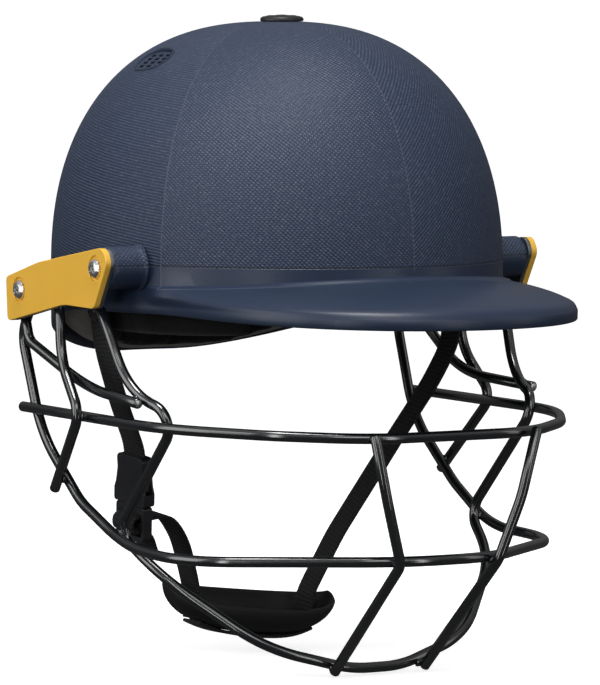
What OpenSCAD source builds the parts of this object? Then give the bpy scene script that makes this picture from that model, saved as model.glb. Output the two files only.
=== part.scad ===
/* [Shell] */
// Half width of the shell at its widest level
shell_half_w = 105; // [100:1:112]
// Shell length ahead of the origin, without the peak
shell_front = 121; // [115:1:128]
// Shell length behind the origin
shell_rear = 127; // [120:1:134]
// Height of the level where the crown begins to close in
crown_base = 29; // [25:1:33]
// Rise of the crown above that level
crown_rise = 118; // [112:1:124]
// Thickness of the moulded shell wall
shell_wall = 3; // [2.5:0.1:4]
// Reach of the peak ahead of the shell
peak_reach = 65; // [60:1:68]
// Height of the rounded edge of the peak
peak_lip = 5; // [4:0.5:6]
// Angle round the head at which the peak fades into the side
peak_end = 67; // [64:1:72]

/* [Lining] */
// Thickness of the foam liner
liner_thick = 15; // [12:1:18]
// Thickness of the black pads at the brow, ears and nape
pad_thick = 9; // [6:1:12]

/* [Grille] */
// Diameter of the grille wire
wire_d = 5; // [4.5:0.1:5.6]
// Distance from the shell's widest point to the inner face of the wire bracket
bracket_off = 11.4; // [10.4:0.1:13]
// Reach of the grille ahead of the origin
grille_reach = 157; // [153:1:161]
// Depth of the grille below the origin
grille_drop = 157; // [154:1:160]
// Thickness of the steel bracket
bracket_thick = 2; // [1.5:0.1:2.5]
// Thickness of the side plate over the bracket
plate_thick = 3; // [2:0.1:4]
// Diameter of the pan head of a plate screw
screw_head_d = 9; // [8:0.1:10]
// Diameter of the screw shank
screw_d = 4; // [3.5:0.1:4.5]

/* [Strap] */
// Width of the webbing
web_w = 16; // [14:0.5:17]
// Thickness of the webbing
web_t = 1.6; // [1.2:0.1:2]
// Width of the release buckle
buckle_w = 23; // [22.5:0.5:26]
// Half length of the chin cup
cup_half_len = 47; // [43:1:50]

/* [Hidden] */
$fn = 48;

// Exponents of the two superellipses: plan outline and crown
plan_exp = 2.25;
crown_exp = 2.35;
azimuth_steps = 48;
crown_angles = [10, 22, 33, 43, 52, 60, 68, 75, 82, 89];
// Shares of reach and of drop along the flare from the shell wall to the edge
reach_shares = [0.00, 0.12, 0.38, 0.62, 0.82, 0.95, 1.00];
drop_shares = [0.00, 0.12, 0.24, 0.41, 0.60, 0.77, 1.00];
// Exponent that draws the peak to a rounded point in plan
peak_exp = 1.95;
// Levels of the peak's root at the front and at the sides
root_front = 30;
root_side = 21;
peak_edge_top = 12.7;
rim_side = 14.3;
rim_rear = -17;
rim_fall_start = 90;
rim_fall_end = 172;
rim_round = 3;
// How far the rounded edge is drawn in below, and the inner edge behind it
lip_in = 0.8;
lip_back = 1;
// Gap between the shell and the liner, measured inward like a wall
shell_gap = 1.4;
bracket_half_gap = shell_half_w + bracket_off;
// Clearance between pieces that lie on each other
ease_gap = 0.3;
// Length by which a cutter passes the face it opens
over = 1;

// Signed power, for superellipses
function spow(v, e) = sign(v) * pow(abs(v), e);
// Smooth step from 0 to 1
function ease(v) = let (c = min(1, max(0, v))) c * c * (3 - 2 * c);
// Angle from the front, 0 to 180, for an azimuth
function from_front(t) = abs(t > 180 ? t - 360 : t);
// Point of the plan outline, drawn in by an inset; azimuth 0 is the front
function plan(t, inset) = [
    (shell_half_w - inset) * spow(sin(t), 2 / plan_exp),
    -((cos(t) > 0 ? shell_front : shell_rear) - inset) * spow(cos(t), 2 / plan_exp)];
function reach(t) = let (u = from_front(t) / peak_end)
    u >= 1 ? 0 : peak_reach * pow(1 - u * u, peak_exp);
function root(t) = root_front + (root_side - root_front) * ease(from_front(t) / peak_end);
function edge_height(t) = let (a = from_front(t))
    a < peak_end ? peak_edge_top + (rim_side - peak_edge_top) * ease(a / peak_end)
    : rim_side + (rim_rear - rim_side) * ease((a - rim_fall_start) / (rim_fall_end - rim_fall_start));
function lip(t) = rim_round + (peak_lip - rim_round) * reach(t) / peak_reach;
// A point of the crown at angle p down from the top
function crown_point(t, p, inset) = let (q = plan(t, inset), k = pow(sin(p), 2 / crown_exp))
    [q.x * k, q.y * k, crown_base + (crown_rise - inset) * pow(cos(p), 2 / crown_exp)];
// A point of the flare and wall below the crown
function flare_point(t, i, inset) =
    let (q = plan(t, inset), n = norm(q), e = reach(t) * reach_shares[i],
        open = reach(t) / peak_reach,
        z = root(t) + (edge_height(t) - root(t)) * drop_shares[i] - open * inset)
    [q.x * (1 + e / n), q.y * (1 + e / n), z];
function lip_point(t, inset, back) =
    let (q = plan(t, inset), n = norm(q), e = reach(t) - back)
    [q.x * (1 + e / n), q.y * (1 + e / n), edge_height(t) - lip(t)];

// Closed skin through rings of points, with a top point at each end of the stack
module skin(rings, first, last) {
    n = len(rings[0]);
    m = len(rings);
    points = concat([for (r = rings) each r], [first, last]);
    polyhedron(points, concat(
        [for (i = [0:m - 2], j = [0:n - 1]) let (k = (j + 1) % n, a = i * n)
            each [[a + j, a + k, a + n + j], [a + k, a + n + k, a + n + j]]],
        [for (j = [0:n - 1]) [n * m, (j + 1) % n, j]],
        [for (j = [0:n - 1]) [n * m + 1, (m - 1) * n + j, (m - 1) * n + (j + 1) % n]]),
        convexity = 6);
}

azimuths = [for (j = [0:azimuth_steps - 1]) j * 360 / azimuth_steps];
module shell_skin() {
    skin(concat(
        [for (p = crown_angles) [for (t = azimuths) crown_point(t, p, 0)]],
        [for (i = [1:len(reach_shares) - 1]) [for (t = azimuths) flare_point(t, i, 0)]],
        [[for (t = azimuths) lip_point(t, lip_in, 0)],
            [for (t = azimuths) lip_point(t, shell_wall * 0.8, lip_back)]],
        [for (i = [len(reach_shares) - 2:-1:0]) [for (t = azimuths) flare_point(t, i, shell_wall)]],
        [for (k = [len(crown_angles) - 1:-1:0])
            [for (t = azimuths) crown_point(t, crown_angles[k], shell_wall)]]),
        [0, 0, crown_base + crown_rise], [0, 0, crown_base + crown_rise - shell_wall]);
}

// Fixing points of the side plate: places [Y, Z] of the two screws
front_fixing = [-33.6, 32.8];
rear_fixing = [38.6, 19.8];
fixings = [front_fixing, rear_fixing];
boss_d = [20, 15];
// Depth by which a boss is rooted inside the shell's widest point
boss_root = 5;
boss_start = shell_half_w - boss_root;
insert_d = 7;
insert_len = 11;
sides = [-1, 1];

// Turns a solid of revolution about Z to lie along X at a fixing point
module along_x(x, fixing) translate([x, fixing.x, fixing.y]) rotate([0, 90, 0]) children();
module on_side(side) mirror([side < 0 ? 1 : 0, 0, 0]) children();

button_y = -4;
button_d = 21;
button_h = 3;
stem_d = 5;
// Depth of the button's seat below the top of the crown
seat_sink = 0.7;
button_seat = crown_base + crown_rise - seat_sink;
button_edge = 0.4;
button_crown = 1;
button_face_d = 8;
stem_len = 13;
stem_head_d = 12;
stem_head_h = 3;
stem_below = 11;
// Place of a vent as shares of the shell's half width, rear length and crown rise
vent_shares = [0.615, 0.058, 0.848];
vent_at = [vent_shares.x * shell_half_w, vent_shares.y * shell_rear,
    crown_base + vent_shares.z * crown_rise];
vent_tilt = 36;
vent_lean = -1.5;
vent_long = 25;
vent_wide = 15;
vent_deep = 9;
vent_plate = 4;
// Depth of the insert's face below the shell's surface
vent_sink = 1.2;
vent_grid_shares = [0.19, 0.27];
vent_hole = [1.7, 4.6];
vent_round = 0.8;
// Width by which the liner's opening is larger than the vent
vent_play = 2;

// Frame that stands square to the shell at the vent
module at_vent(side) translate([side * vent_at.x, vent_at.y, vent_at.z])
    rotate([vent_lean, side * vent_tilt, 0]) children();
module vent_oval(side, grow, depth, lift) {
    at_vent(side) translate([0, 0, lift - depth]) linear_extrude(depth)
        oval(vent_wide + grow, vent_long + grow);
}
module oval(w, l) polygon([for (a = [0:15:345])
    [w / 2 * spow(cos(a), vent_round), l / 2 * spow(sin(a), vent_round)]]);

module outer_shell() {
    color("#2b3347") difference() {
        union() {
            shell_skin();
            for (side = sides, i = [0, 1]) on_side(side)
                along_x(boss_start, fixings[i]) cylinder(h = bracket_half_gap - boss_start, d = boss_d[i]);
        }
        for (side = sides, f = fixings)
            on_side(side) along_x(bracket_half_gap - insert_len, f)
                cylinder(h = insert_len + over, d = insert_d);
        for (side = sides) vent_oval(side, 0, vent_deep * 2, vent_deep);
        translate([0, button_y, button_seat - stem_len]) cylinder(h = 2 * stem_len, d = stem_d);
    }
}

module crown_button() {
    r = button_d / 2;
    top = button_seat + button_h;
    color("#17181c") difference() {
        translate([0, button_y, 0]) rotate_extrude() polygon([
            [0, button_seat + button_crown], [r - button_edge, button_seat + button_crown],
            [r, button_seat + button_crown + button_edge], [r - button_edge, top - button_edge],
            [r - 2 * button_crown, top + button_edge / 2],
            [button_face_d / 2, top + 2 * button_edge], [0, top + button_crown]]);
        translate([0, button_y, button_seat - over]) cylinder(h = button_h, d = stem_d);
    }
}
module button_stem() {
    color("#17181c") translate([0, button_y, button_seat - stem_below]) {
        cylinder(h = stem_len, d = stem_d);
        cylinder(h = stem_head_h, d = stem_head_d);
    }
}

module vent_insert(side) {
    color("#1b2030") difference() {
        vent_oval(side, -ease_gap / 3, vent_plate, -vent_sink);
        at_vent(side) for (i = [-1.5:1.5], j = [-1:1])
            translate([i * vent_wide * vent_grid_shares.x, j * vent_long * vent_grid_shares.y, -vent_deep])
                linear_extrude(2 * vent_deep) square(vent_hole, center = true);
    }
}

// Cloth-faced foam liner, a second skin within the shell
liner_top = shell_wall + shell_gap;
// Rise of the liner's two eased lower edges, and their width
liner_edge_rise = 4;
liner_edge_w = 5;
stem_pocket_d = 14;
module impact_liner() {
    inner = liner_top + liner_thick;
    color("#63615d") difference() {
        skin(concat(
            [for (p = crown_angles) [for (t = azimuths) crown_point(t, p, liner_top)]],
            [[for (t = azimuths) liner_edge(t, liner_top, liner_edge_rise)],
                [for (t = azimuths) liner_edge(t, liner_top + liner_edge_w, 0)],
                [for (t = azimuths) liner_edge(t, inner - liner_edge_w, 0)],
                [for (t = azimuths) liner_edge(t, inner, liner_edge_rise)]],
            [for (k = [len(crown_angles) - 1:-1:0])
                [for (t = azimuths) crown_point(t, crown_angles[k], inner)]]),
            [0, 0, crown_base + crown_rise - liner_top], [0, 0, crown_base + crown_rise - inner]);
        translate([0, button_y, button_seat - stem_below - over])
            cylinder(h = stem_pocket_d, d = stem_pocket_d);
        for (side = sides) vent_oval(side, vent_play, 2 * liner_thick, vent_deep);
    }
}
liner_low_side = 20;
liner_low_rear = -11;
liner_fall_start = 95;
function liner_edge(t, inset, up) = let (q = plan(t, inset),
        fall = ease((from_front(t) - liner_fall_start) / (rim_fall_end - liner_fall_start)))
    [q.x, q.y, liner_low_side + (liner_low_rear - liner_low_side) * fall + up];

// Pad that follows the inside of the shell between two azimuths, with rounded section
module wall_pad(from, to, inset, thick, low, high, steps) {
    turns = [for (i = [0:steps]) from + (to - from) * i / steps];
    section_shares = [[0.0, 0.08], [0.0, 0.92], [0.25, 1.0], [0.7, 0.97], [0.96, 0.85],
        [1.0, 0.5], [0.96, 0.15], [0.7, 0.03], [0.25, 0.0]];
    n = len(section_shares);
    function taper(i) = let (u = i / steps) 0.45 + 0.55 * pow(max(0, sin(180 * u)), 0.3);
    points = [for (i = [0:steps], s = section_shares)
        let (q = plan(turns[i], inset + thick * s.x * taper(i)),
            mid = (low + high) / 2, z = low + (high - low) * s.y)
        [q.x, q.y, mid + (z - mid) * (0.7 + 0.3 * taper(i))]];
    polyhedron(points, tube_faces(n, steps + 1, from < to), convexity = 4);
}
function flip(f) = [for (i = [len(f) - 1:-1:0]) f[i]];
// Side quads of a tube and its two end caps
function tube_faces(n, m, turned) = let (faces = concat(
    [for (i = [0:m - 2], j = [0:n - 1]) let (k = (j + 1) % n, a = i * n)
        each [[a + j, a + n + j, a + k], [a + k, a + n + j, a + n + k]]],
    [[for (j = [0:n - 1]) j], [for (j = [n - 1:-1:0]) (m - 1) * n + j]]))
    turned ? [for (f = faces) flip(f)] : faces;

pad_inset = liner_top + liner_thick + ease_gap;
side_pad_out = 6;
side_pad_extra = 3;
brow_pad_z = [6, 30];
nape_pad_z = [-10, 18];
ear_pad_low = 0;
// Share of the liner's edge rise up to which the ear pad is pushed against it
ear_seat_share = 0.15;
tuft_ring_r = 22;
tuft_d = 5;
crown_pad_gap = 0.9;
crown_pad_r = 38;
crown_pad_radii = [0, 13, 26, crown_pad_r];
// Height of the liner's inner face at a distance from the middle, where it is lowest
function hollow_top(r) = crown_base + (crown_rise - liner_top - liner_thick)
    * pow(1 - pow(r / (shell_half_w - liner_top - liner_thick), crown_exp), 1 / crown_exp);
module crown_pad() {
    color("#26272b") difference() {
        rotate_extrude($fn = 40) polygon(concat(
            [for (r = crown_pad_radii) [r, hollow_top(r) - crown_pad_gap]],
            [[crown_pad_r + pad_thick / 6, hollow_top(crown_pad_r) - pad_thick * 0.4],
                [crown_pad_r, hollow_top(crown_pad_r) - pad_thick * 0.8], [0, hollow_top(0) - pad_thick]]));
        for (a = [0:60:300]) rotate(a) translate([tuft_ring_r, 0, crown_base])
            cylinder(h = crown_rise, d = tuft_d);
    }
}
module comfort_band() {
    color("#1a1b1e") wall_pad(-38, 38, pad_inset, pad_thick, brow_pad_z.x, brow_pad_z.y, 16);
}
module rear_pad() {
    color("#1a1b1e") wall_pad(148, 212, pad_inset, pad_thick, nape_pad_z.x, nape_pad_z.y, 12);
}
module side_pad(side) {
    color("#1a1b1e") on_side(side) wall_pad(44, 100, pad_inset - side_pad_out, pad_thick + side_pad_extra,
        ear_pad_low, liner_low_side + liner_edge_rise * ear_seat_share, 12);
}

// Rounded outline through corner points, each with its own radius
function corner(p, q, s, r, n) =
    let (u = (p - q) / norm(p - q), w = (s - q) / norm(s - q), th = acos(u * w),
        t = min(r / tan(th / 2), 0.48 * min(norm(p - q), norm(s - q))), rr = t * tan(th / 2),
        b = (u + w) / norm(u + w), c = q + b * rr / sin(th / 2), om = 180 - th)
    om < 1 || r <= 0 ? [q] : [for (k = [0:n]) let (f = k / n)
        c + (sin((1 - f) * om) * (q + u * t - c) + sin(f * om) * (q + w * t - c)) / sin(om)];
function rounded(pts, radii, n) = [for (i = [0:len(pts) - 1])
    each corner(pts[(i + len(pts) - 1) % len(pts)], pts[i], pts[(i + 1) % len(pts)], radii[i], n)];
// Rounded open path: the ends stay where they are
function bent(pts, radii, n) = concat([pts[0]],
    [for (i = [1:len(pts) - 2]) each corner(pts[i - 1], pts[i], pts[i + 1], radii[i], n)],
    [pts[len(pts) - 1]]);

// Side plate: how far it reaches back and up from the origin, its outline as shares of
// these from the front top corner on, and the radius at each corner
plate_reach = 50;
plate_top = 43;
plate_shares = [[-0.82, 1.0], [-0.9, 0.823], [-0.652, 0.321], [-0.088, 0.34],
    [0.276, 0.265], [1.0, 0.098], [1.028, 0.595], [0.398, 0.786]];
plate_radii = [6, 5, 4, 40, 40, 2.5, 2.5, 60];
plate_start = bracket_half_gap + bracket_thick;
screw_z = plate_start + plate_thick;
recess_ring = 1.5;
recess_d = screw_head_d + 2 * recess_ring;
recess_deep = 1.2;
screw_play = 0.6;
module plate_body(thick) rotate([90, 0, 90]) linear_extrude(thick)
    polygon(rounded([for (s = plate_shares) [s.x * plate_reach, s.y * plate_top]], plate_radii, 4));
module side_plate(side) {
    color("#ebb94b") on_side(side) difference() {
        translate([plate_start, 0, 0]) plate_body(plate_thick);
        for (f = fixings) {
            along_x(plate_start - over, f) cylinder(h = plate_thick + 2 * over, d = screw_d + screw_play);
            along_x(screw_z - recess_deep, f) cylinder(h = recess_deep + over, d = recess_d);
        }
    }
}
module grille_bracket(side) {
    color("#8c8f94") on_side(side) difference() {
        translate([bracket_half_gap, 0, 0]) plate_body(bracket_thick);
        for (f = fixings) along_x(bracket_half_gap - over, f)
            cylinder(h = bracket_thick + 2 * over, d = screw_d + screw_play);
    }
}
head_h = 3;
screw_len = 12;
cross_deep = 1.2;
cross_w = 1.1;
module plate_screws() {
    color("silver") for (side = sides, f = fixings) on_side(side) difference() {
        union() {
            along_x(screw_z - recess_deep - screw_len, f) cylinder(h = screw_len + over, d = screw_d);
            along_x(screw_z - recess_deep, f) rotate_extrude() polygon([[0, 0], [screw_head_d / 2, 0],
                [screw_head_d / 2, head_h * 0.45], [screw_head_d * 0.39, head_h * 0.85],
                [screw_head_d / 4, head_h], [0, head_h]]);
        }
        along_x(screw_z - recess_deep + head_h - cross_deep, f) rotate(45) for (a = [0, 90])
            rotate(a) linear_extrude(2 * cross_deep) square([screw_head_d * 0.55, cross_w], center = true);
    }
}
module threaded_inserts() {
    color("#c9a24a") for (side = sides, f = fixings) on_side(side) difference() {
        along_x(bracket_half_gap - insert_len, f) cylinder(h = insert_len, d = insert_d);
        along_x(bracket_half_gap - insert_len - over, f) cylinder(h = insert_len + 2 * over, d = screw_d);
    }
}

// Wire swept along a path, with an even frame carried from ring to ring
wire_sides = 10;
function unit(v) = v / norm(v);
function tangent(p, i) = unit(p[min(i + 1, len(p) - 1)] - p[max(i - 1, 0)]);
function carried(p, i, n) = i == 0 ? n
    : let (b = carried(p, i - 1, n), t = tangent(p, i)) unit(b - t * (b * t));
module sweep(path, radius, count) {
    start = unit(cross(tangent(path, 0), abs(tangent(path, 0).z) > 0.9 ? [1, 0, 0] : [0, 0, 1]));
    rings = [for (i = [0:len(path) - 1])
        let (t = tangent(path, i), n = carried(path, i, start), b = cross(t, n))
        each [for (k = [0:count - 1]) let (a = k * 360 / count)
            path[i] + radius * (cos(a) * n + sin(a) * b)]];
    polyhedron(rings, tube_faces(count, len(path), false), convexity = 8);
}
module wire(points, radii, bend_steps) {
    color("#202226") sweep(bent(points, radii, bend_steps), wire_d / 2, wire_sides);
}
function mirrored(p) = [-p.x, p.y, p.z];
// Whole path of a wire that is the same on both sides, from its right half ordered front to back
function both_sides(half) = concat([for (i = [len(half) - 1:-1:0]) mirrored(half[i])], half);
function both_radii(half) = concat(flip(half), half);

wire_x = bracket_half_gap - wire_d / 2;
// Corners of each wire: shares of the half width, the reach and the drop, and wire diameters outward
upper_ring_shares = [[0.386, 0.977, 0.271, 0], [0.71, 0.791, 0.263, 0], [1, 0.492, 0.254, -0.48],
    [1, -0.336, 0.237, -0.42]];
lower_ring_shares = [[0.219, 0.953, 0.639, 0], [1, 0.532, 0.646, -1.78], [1, 0.197, 0.628, -2.18],
    [1, -0.038, 0.51, -1.54], [1, -0.274, 0.318, -1.46], [1, -0.382, 0.019, -1.26],
    [1, -0.318, -0.064, -1]];
chin_bar_shares = [[0.123, 0.563, 0.995, 0], [0.492, 0.507, 0.924, 0], [0.812, 0.297, 0.717, 0],
    [1, 0.116, 0.591, -2.85], [1, 0.481, 0.222, -2.6], [1, 0.279, 0.162, -1.1], [1, 0.162, -0.089, 0]];
side_bar_shares = [[1, -0.084, -0.115, 0], [1, -0.068, 0.085, 0], [1, 0.073, 0.235, 0.63],
    [1, -0.156, 0.482, -0.74]];
cheek_bar_shares = [[1, -0.299, -0.064, 0], [1, -0.267, 0.031, 0], [1, 0.001, 0.161, -1.5],
    [1, 0.362, 0.188, -0.53]];
front_bar_shares = [[0.395, 1, 0.255, 0], [0.325, 0.991, 0.459, 0], [0.237, 0.963, 0.647, 0],
    [0.221, 0.578, 1.003, 0]];
function at_grille(shares) = [for (s = shares)
    [s.x * wire_x + s[3] * wire_d, -s.y * grille_reach, -s.z * grille_drop]];
// Bend radii of the wires
easy_bend = 60;
long_bend = 90;
firm_bend = 50;
slack_bend = 80;
rise_bend = 30;
tight_bend = 9;
knee_bend = 16;
module upper_ring() wire(both_sides(at_grille(upper_ring_shares)),
    both_radii([easy_bend, easy_bend, long_bend, 0]), 7);
module lower_ring() wire(both_sides(at_grille(lower_ring_shares)),
    both_radii([easy_bend, firm_bend, slack_bend, firm_bend, easy_bend, rise_bend, 0]), 5);
module chin_bar() wire(both_sides(at_grille(chin_bar_shares)),
    both_radii([easy_bend, easy_bend, long_bend, tight_bend, knee_bend, firm_bend, 0]), 5);
module side_bar(side) on_side(side) wire(at_grille(side_bar_shares), [0, rise_bend, tight_bend, 0], 6);
module cheek_bar(side) on_side(side) wire(at_grille(cheek_bar_shares), [0, tight_bend, long_bend, 0], 6);
module front_bar(side) on_side(side) wire(at_grille(front_bar_shares), [0, slack_bend, tight_bend, 0], 6);

// Flat webbing swept along a path, its width turning from one direction to another
module webbing(path, first, last, width) {
    rings = [for (i = [0:len(path) - 1]) let (t = tangent(path, i), f = ease(i / (len(path) - 1)),
            across = first + (last - first) * f, a = unit(across - t * (across * t)), n = cross(t, a))
        each [path[i] + a * width / 2 + n * web_t / 2, path[i] - a * width / 2 + n * web_t / 2,
            path[i] - a * width / 2 - n * web_t / 2, path[i] + a * width / 2 - n * web_t / 2]];
    polyhedron(rings, tube_faces(4, len(path), false), convexity = 8);
}

// The strap hangs from an anchor on the inner wall and swings about X there
anchor_in = 6.8;
anchor_x = shell_half_w - anchor_in;
anchor_y = 3;
anchor_z = 12;
anchor_eye_d = 12;
anchor_plate = 1.6;
anchor_stand = 1;
anchor_tab = [anchor_plate, 10, 8.5];
rivet_d = 4;
rivet_len = 4.6;
rivet_sink = 2.2;
rivet_head = [7, 1];
// Buckle frame: origin at the mouth of the socket, local Z up the strap
buckle_at = [-71, 16, -83];
buckle_tip = 9;
buckle_lean = -6;
buckle_swing = 8;
buckle_turn = [buckle_tip, buckle_lean, buckle_swing];
function turned_x(v, a) = [v.x, v.y * cos(a) - v.z * sin(a), v.y * sin(a) + v.z * cos(a)];
function turned_y(v, a) = [v.x * cos(a) + v.z * sin(a), v.y, v.z * cos(a) - v.x * sin(a)];
function turned_z(v, a) = [v.x * cos(a) - v.y * sin(a), v.x * sin(a) + v.y * cos(a), v.z];
function buckle_dir(v) = turned_z(turned_y(turned_x(v, buckle_tip), buckle_lean), buckle_swing);
function on_buckle(v) = buckle_at + buckle_dir(v);
buckle_across = buckle_dir([0, 1, 0]);
rearward = [0, 1, 0];
socket_len = 24;
socket_thick = 6.6;
tongue_len = 18;
tongue_slots = [-6.2, -13];
tongue_slot_h = 2 * web_t + 3 * ease_gap;
module in_buckle() translate(buckle_at) rotate(buckle_turn) children();

module strap_anchor(side) {
    color("#2a2c30") on_side(side) difference() {
        translate([anchor_x + anchor_stand, anchor_y, anchor_z]) {
            rotate([0, 90, 0]) cylinder(h = anchor_plate, d = anchor_eye_d);
            translate([0, -anchor_tab.y / 2, -anchor_stand]) cube(anchor_tab);
        }
        translate([anchor_x, anchor_y, anchor_z]) rotate([0, 90, 0])
            cylinder(h = anchor_plate * 3, d = rivet_d);
    }
}
module anchor_rivets() {
    color("silver") for (side = sides) on_side(side) translate([anchor_x - rivet_sink, anchor_y, anchor_z])
        rotate([0, 90, 0]) {
            cylinder(h = rivet_len, d = rivet_d);
            cylinder(h = rivet_head.y, d = rivet_head.x);
        }
}
strap_rise = 3;
rivet_play = 0.1;
module strap_end(side) on_side(side) translate([anchor_x, anchor_y, anchor_z]) rotate([0, 90, 0])
    cylinder(h = rivet_d * 4, d = rivet_d + rivet_play, center = true);
function strap_start(side) = [side * anchor_x, anchor_y, anchor_z + strap_rise];
// Corners that the straps pass between the anchors, the buckle and the cup
near_corners = [[-anchor_x, -1, -6], [-88, 2, -32]];
lower_knee = [-43, 20, -102];
far_corners = [[anchor_x, -7, -6], [86, -3, -30], [66, 2, -60], [44, 17, -103]];
module strap_right() {
    color("#15161a") difference() {
        webbing(bent(concat([strap_start(-1)], near_corners, [on_buckle([0, 0, socket_len + strap_rise]),
            on_buckle([0, 0, socket_len - strap_rise])]),
            [0, firm_bend, easy_bend, knee_bend, 0], 5), rearward, buckle_across, web_w);
        strap_end(-1);
    }
}
module strap_left() {
    color("#15161a") difference() {
        webbing(bent(concat([strap_start(1)], far_corners, [slot_mouth(far_slot, cup_slot_rise),
            slot_mouth(far_slot, ease_gap)]),
            [0, firm_bend, easy_bend, easy_bend, firm_bend, knee_bend, 0], 5), rearward, rearward, web_w);
        strap_end(1);
    }
}
// Two layers of webbing lie in the upper slot of the tongue, one in the lower
layer_off = (web_t + ease_gap) / 2;
lower_run = 18;
module strap_right_lower() {
    level = tongue_slots[0] - layer_off;
    color("#15161a") webbing(bent([on_buckle([-anchor_stand, 0, level]), on_buckle([lower_run, 0, level]),
        lower_knee, slot_mouth(near_slot, cup_slot_rise), slot_mouth(near_slot, ease_gap)],
        [0, tight_bend, rise_bend, knee_bend, 0], 5), buckle_across, rearward, web_w);
}
// Loose end that wraps the lower bar of the tongue and hangs inside the strap
module strap_tail() {
    h = socket_thick / 2 + web_t + ease_gap;
    level = tongue_slots[0] + layer_off;
    low = tongue_slots[1];
    loop_bend = 2 * web_t;
    color("#15161a") webbing(bent([on_buckle([web_t, 0, level]), on_buckle([-h - web_t, 0, level]),
        on_buckle([-h - web_t, 0, low]), on_buckle([h, 0, low]),
        on_buckle([h + tight_bend, 0, low - tight_bend])],
        [0, loop_bend, loop_bend, tight_bend, 0], 4), buckle_across, buckle_across, web_w);
}
// Runs beneath the cup from slot to slot
under_drop = web_t / 2 + 1.5 * ease_gap;
under_steps = 12;
module strap_under() {
    from = near_slot - web_t;
    to = far_slot + web_t;
    color("#15161a") webbing([for (i = [0:under_steps]) let (u = from + (to - from) * i / under_steps)
        [u, cup_y, cup_floor(u) - under_drop]], rearward, rearward, web_w);
}

// Chin cup: a dish with closed ends whose rim rises toward them
cup_y = 26;
cup_low = -150.5;
cup_wall = 2.4;
cup_tilt = 6.5;
cup_half_w = 18;
cup_front_h = 15.5;
cup_back_h = 19.5;
cup_end_h = 23;
// Exponents of the plan outline, the swell of the wall and its rise
cup_plan_exp = 0.75;
cup_swell_exp = 0.8;
cup_rise_exp = 0.9;
cup_rim_exp = 0.6;
cup_levels = [14, 26, 38, 50, 62, 74, 90];
cup_turns = 36;
near_slot = -0.7 * cup_half_len;
far_slot = 0.66 * cup_half_len;
slot_len = 6;
slot_play = 2.5;
cup_slot_rise = 14;
function cup_rim(t) = (sin(t) < 0 ? cup_front_h : cup_back_h) * pow(abs(sin(t)), cup_rim_exp)
    + cup_end_h * (1 - pow(abs(sin(t)), cup_rim_exp));
function cup_rise(p) = 1 - pow(cos(p), cup_rise_exp);
// One wall point: t turns round the dish and p climbs from the floor at 0 to the rim at 90
function cup_point(t, p, inset) = let (f = pow(sin(p), cup_swell_exp),
        u = (cup_half_len - inset) * spow(cos(t), cup_plan_exp) * f)
    [u, cup_y + (cup_half_w - inset) * spow(sin(t), cup_plan_exp) * f,
        cup_low + inset + (cup_rim(t) - inset) * cup_rise(p) - u * tan(cup_tilt)];
// Height of the floor's outer face along the middle of the dish
function cup_floor(u) = let (f = abs(u) / cup_half_len, p = asin(min(1, pow(f, 1 / cup_swell_exp))))
    cup_low + cup_end_h * cup_rise(p) - u * tan(cup_tilt);
function slot_mouth(u, up) = [u, cup_y, cup_floor(u) + up];
module chin_cup() {
    turns = [for (i = [0:cup_turns - 1]) 360 * (i + 0.5) / cup_turns];
    color("#1c1d20") difference() {
        skin(concat([for (p = cup_levels) [for (t = turns) cup_point(-t, p, 0)]],
            [for (k = [len(cup_levels) - 1:-1:0])
                [for (t = turns) cup_point(-t, cup_levels[k], cup_wall)]]),
            [0, cup_y, cup_low], [0, cup_y, cup_low + cup_wall]);
        for (u = [near_slot, far_slot]) translate([u, cup_y, cup_floor(u)])
            cube([slot_len, web_w + slot_play, slot_len * 2.6], center = true);
    }
}

// Side outline of the socket in local Y and Z: waisted, with a collar at the mouth
collar_h = 6.5;
waist_share = 0.8;
crown_share = 0.88;
waist_shares = [0.42, 0.7];
waist_flare = 1;
// Radii at the collar's corners, its upper edge, the waist and the top
socket_radii = [1.5, 1, 6, 6, 2.5];
module socket_outline() {
    h = buckle_w / 2;
    waist = h * waist_share;
    right = [[h, 0], [h, collar_h], [waist + waist_flare, socket_len * waist_shares[0]],
        [waist, socket_len * waist_shares[1]], [h * crown_share, socket_len]];
    polygon(rounded(concat(right, [for (q = flip(right)) [-q.x, q.y]]),
        concat(socket_radii, flip(socket_radii)), 3));
}
mouth_wall = 1.7;
mouth_half_w = buckle_w / 2 - mouth_wall;
mouth_deep = 17;
mouth_thick = 4.6;
window = [8, 9];
window_z = 6;
top_bar = 3.4;
module flat_part(thick) translate([-thick / 2, 0, 0]) rotate([90, 0, 90]) linear_extrude(thick) children();
module buckle_socket() {
    color("#1a1b1f") in_buckle() difference() {
        flat_part(socket_thick) socket_outline();
        flat_part(mouth_thick) {
            translate([-mouth_half_w, -over]) square([2 * mouth_half_w, mouth_deep + over]);
            for (s = sides) translate([s * buckle_w / 2 - window.x / 2, window_z]) square(window);
        }
        translate([0, 0, socket_len - top_bar])
            cube([socket_thick * 0.45, web_w + over, 2 * top_bar], center = true);
    }
}
prong_w = 2.4;
prong_thick = 3.4;
prong_y = mouth_half_w - 1.4 * prong_w;
prong_len = 15.5;
barb_z = [6.6, 7.2, 11.5];
barb_play = 0.2;
tongue_gap = 0.3;
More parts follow.
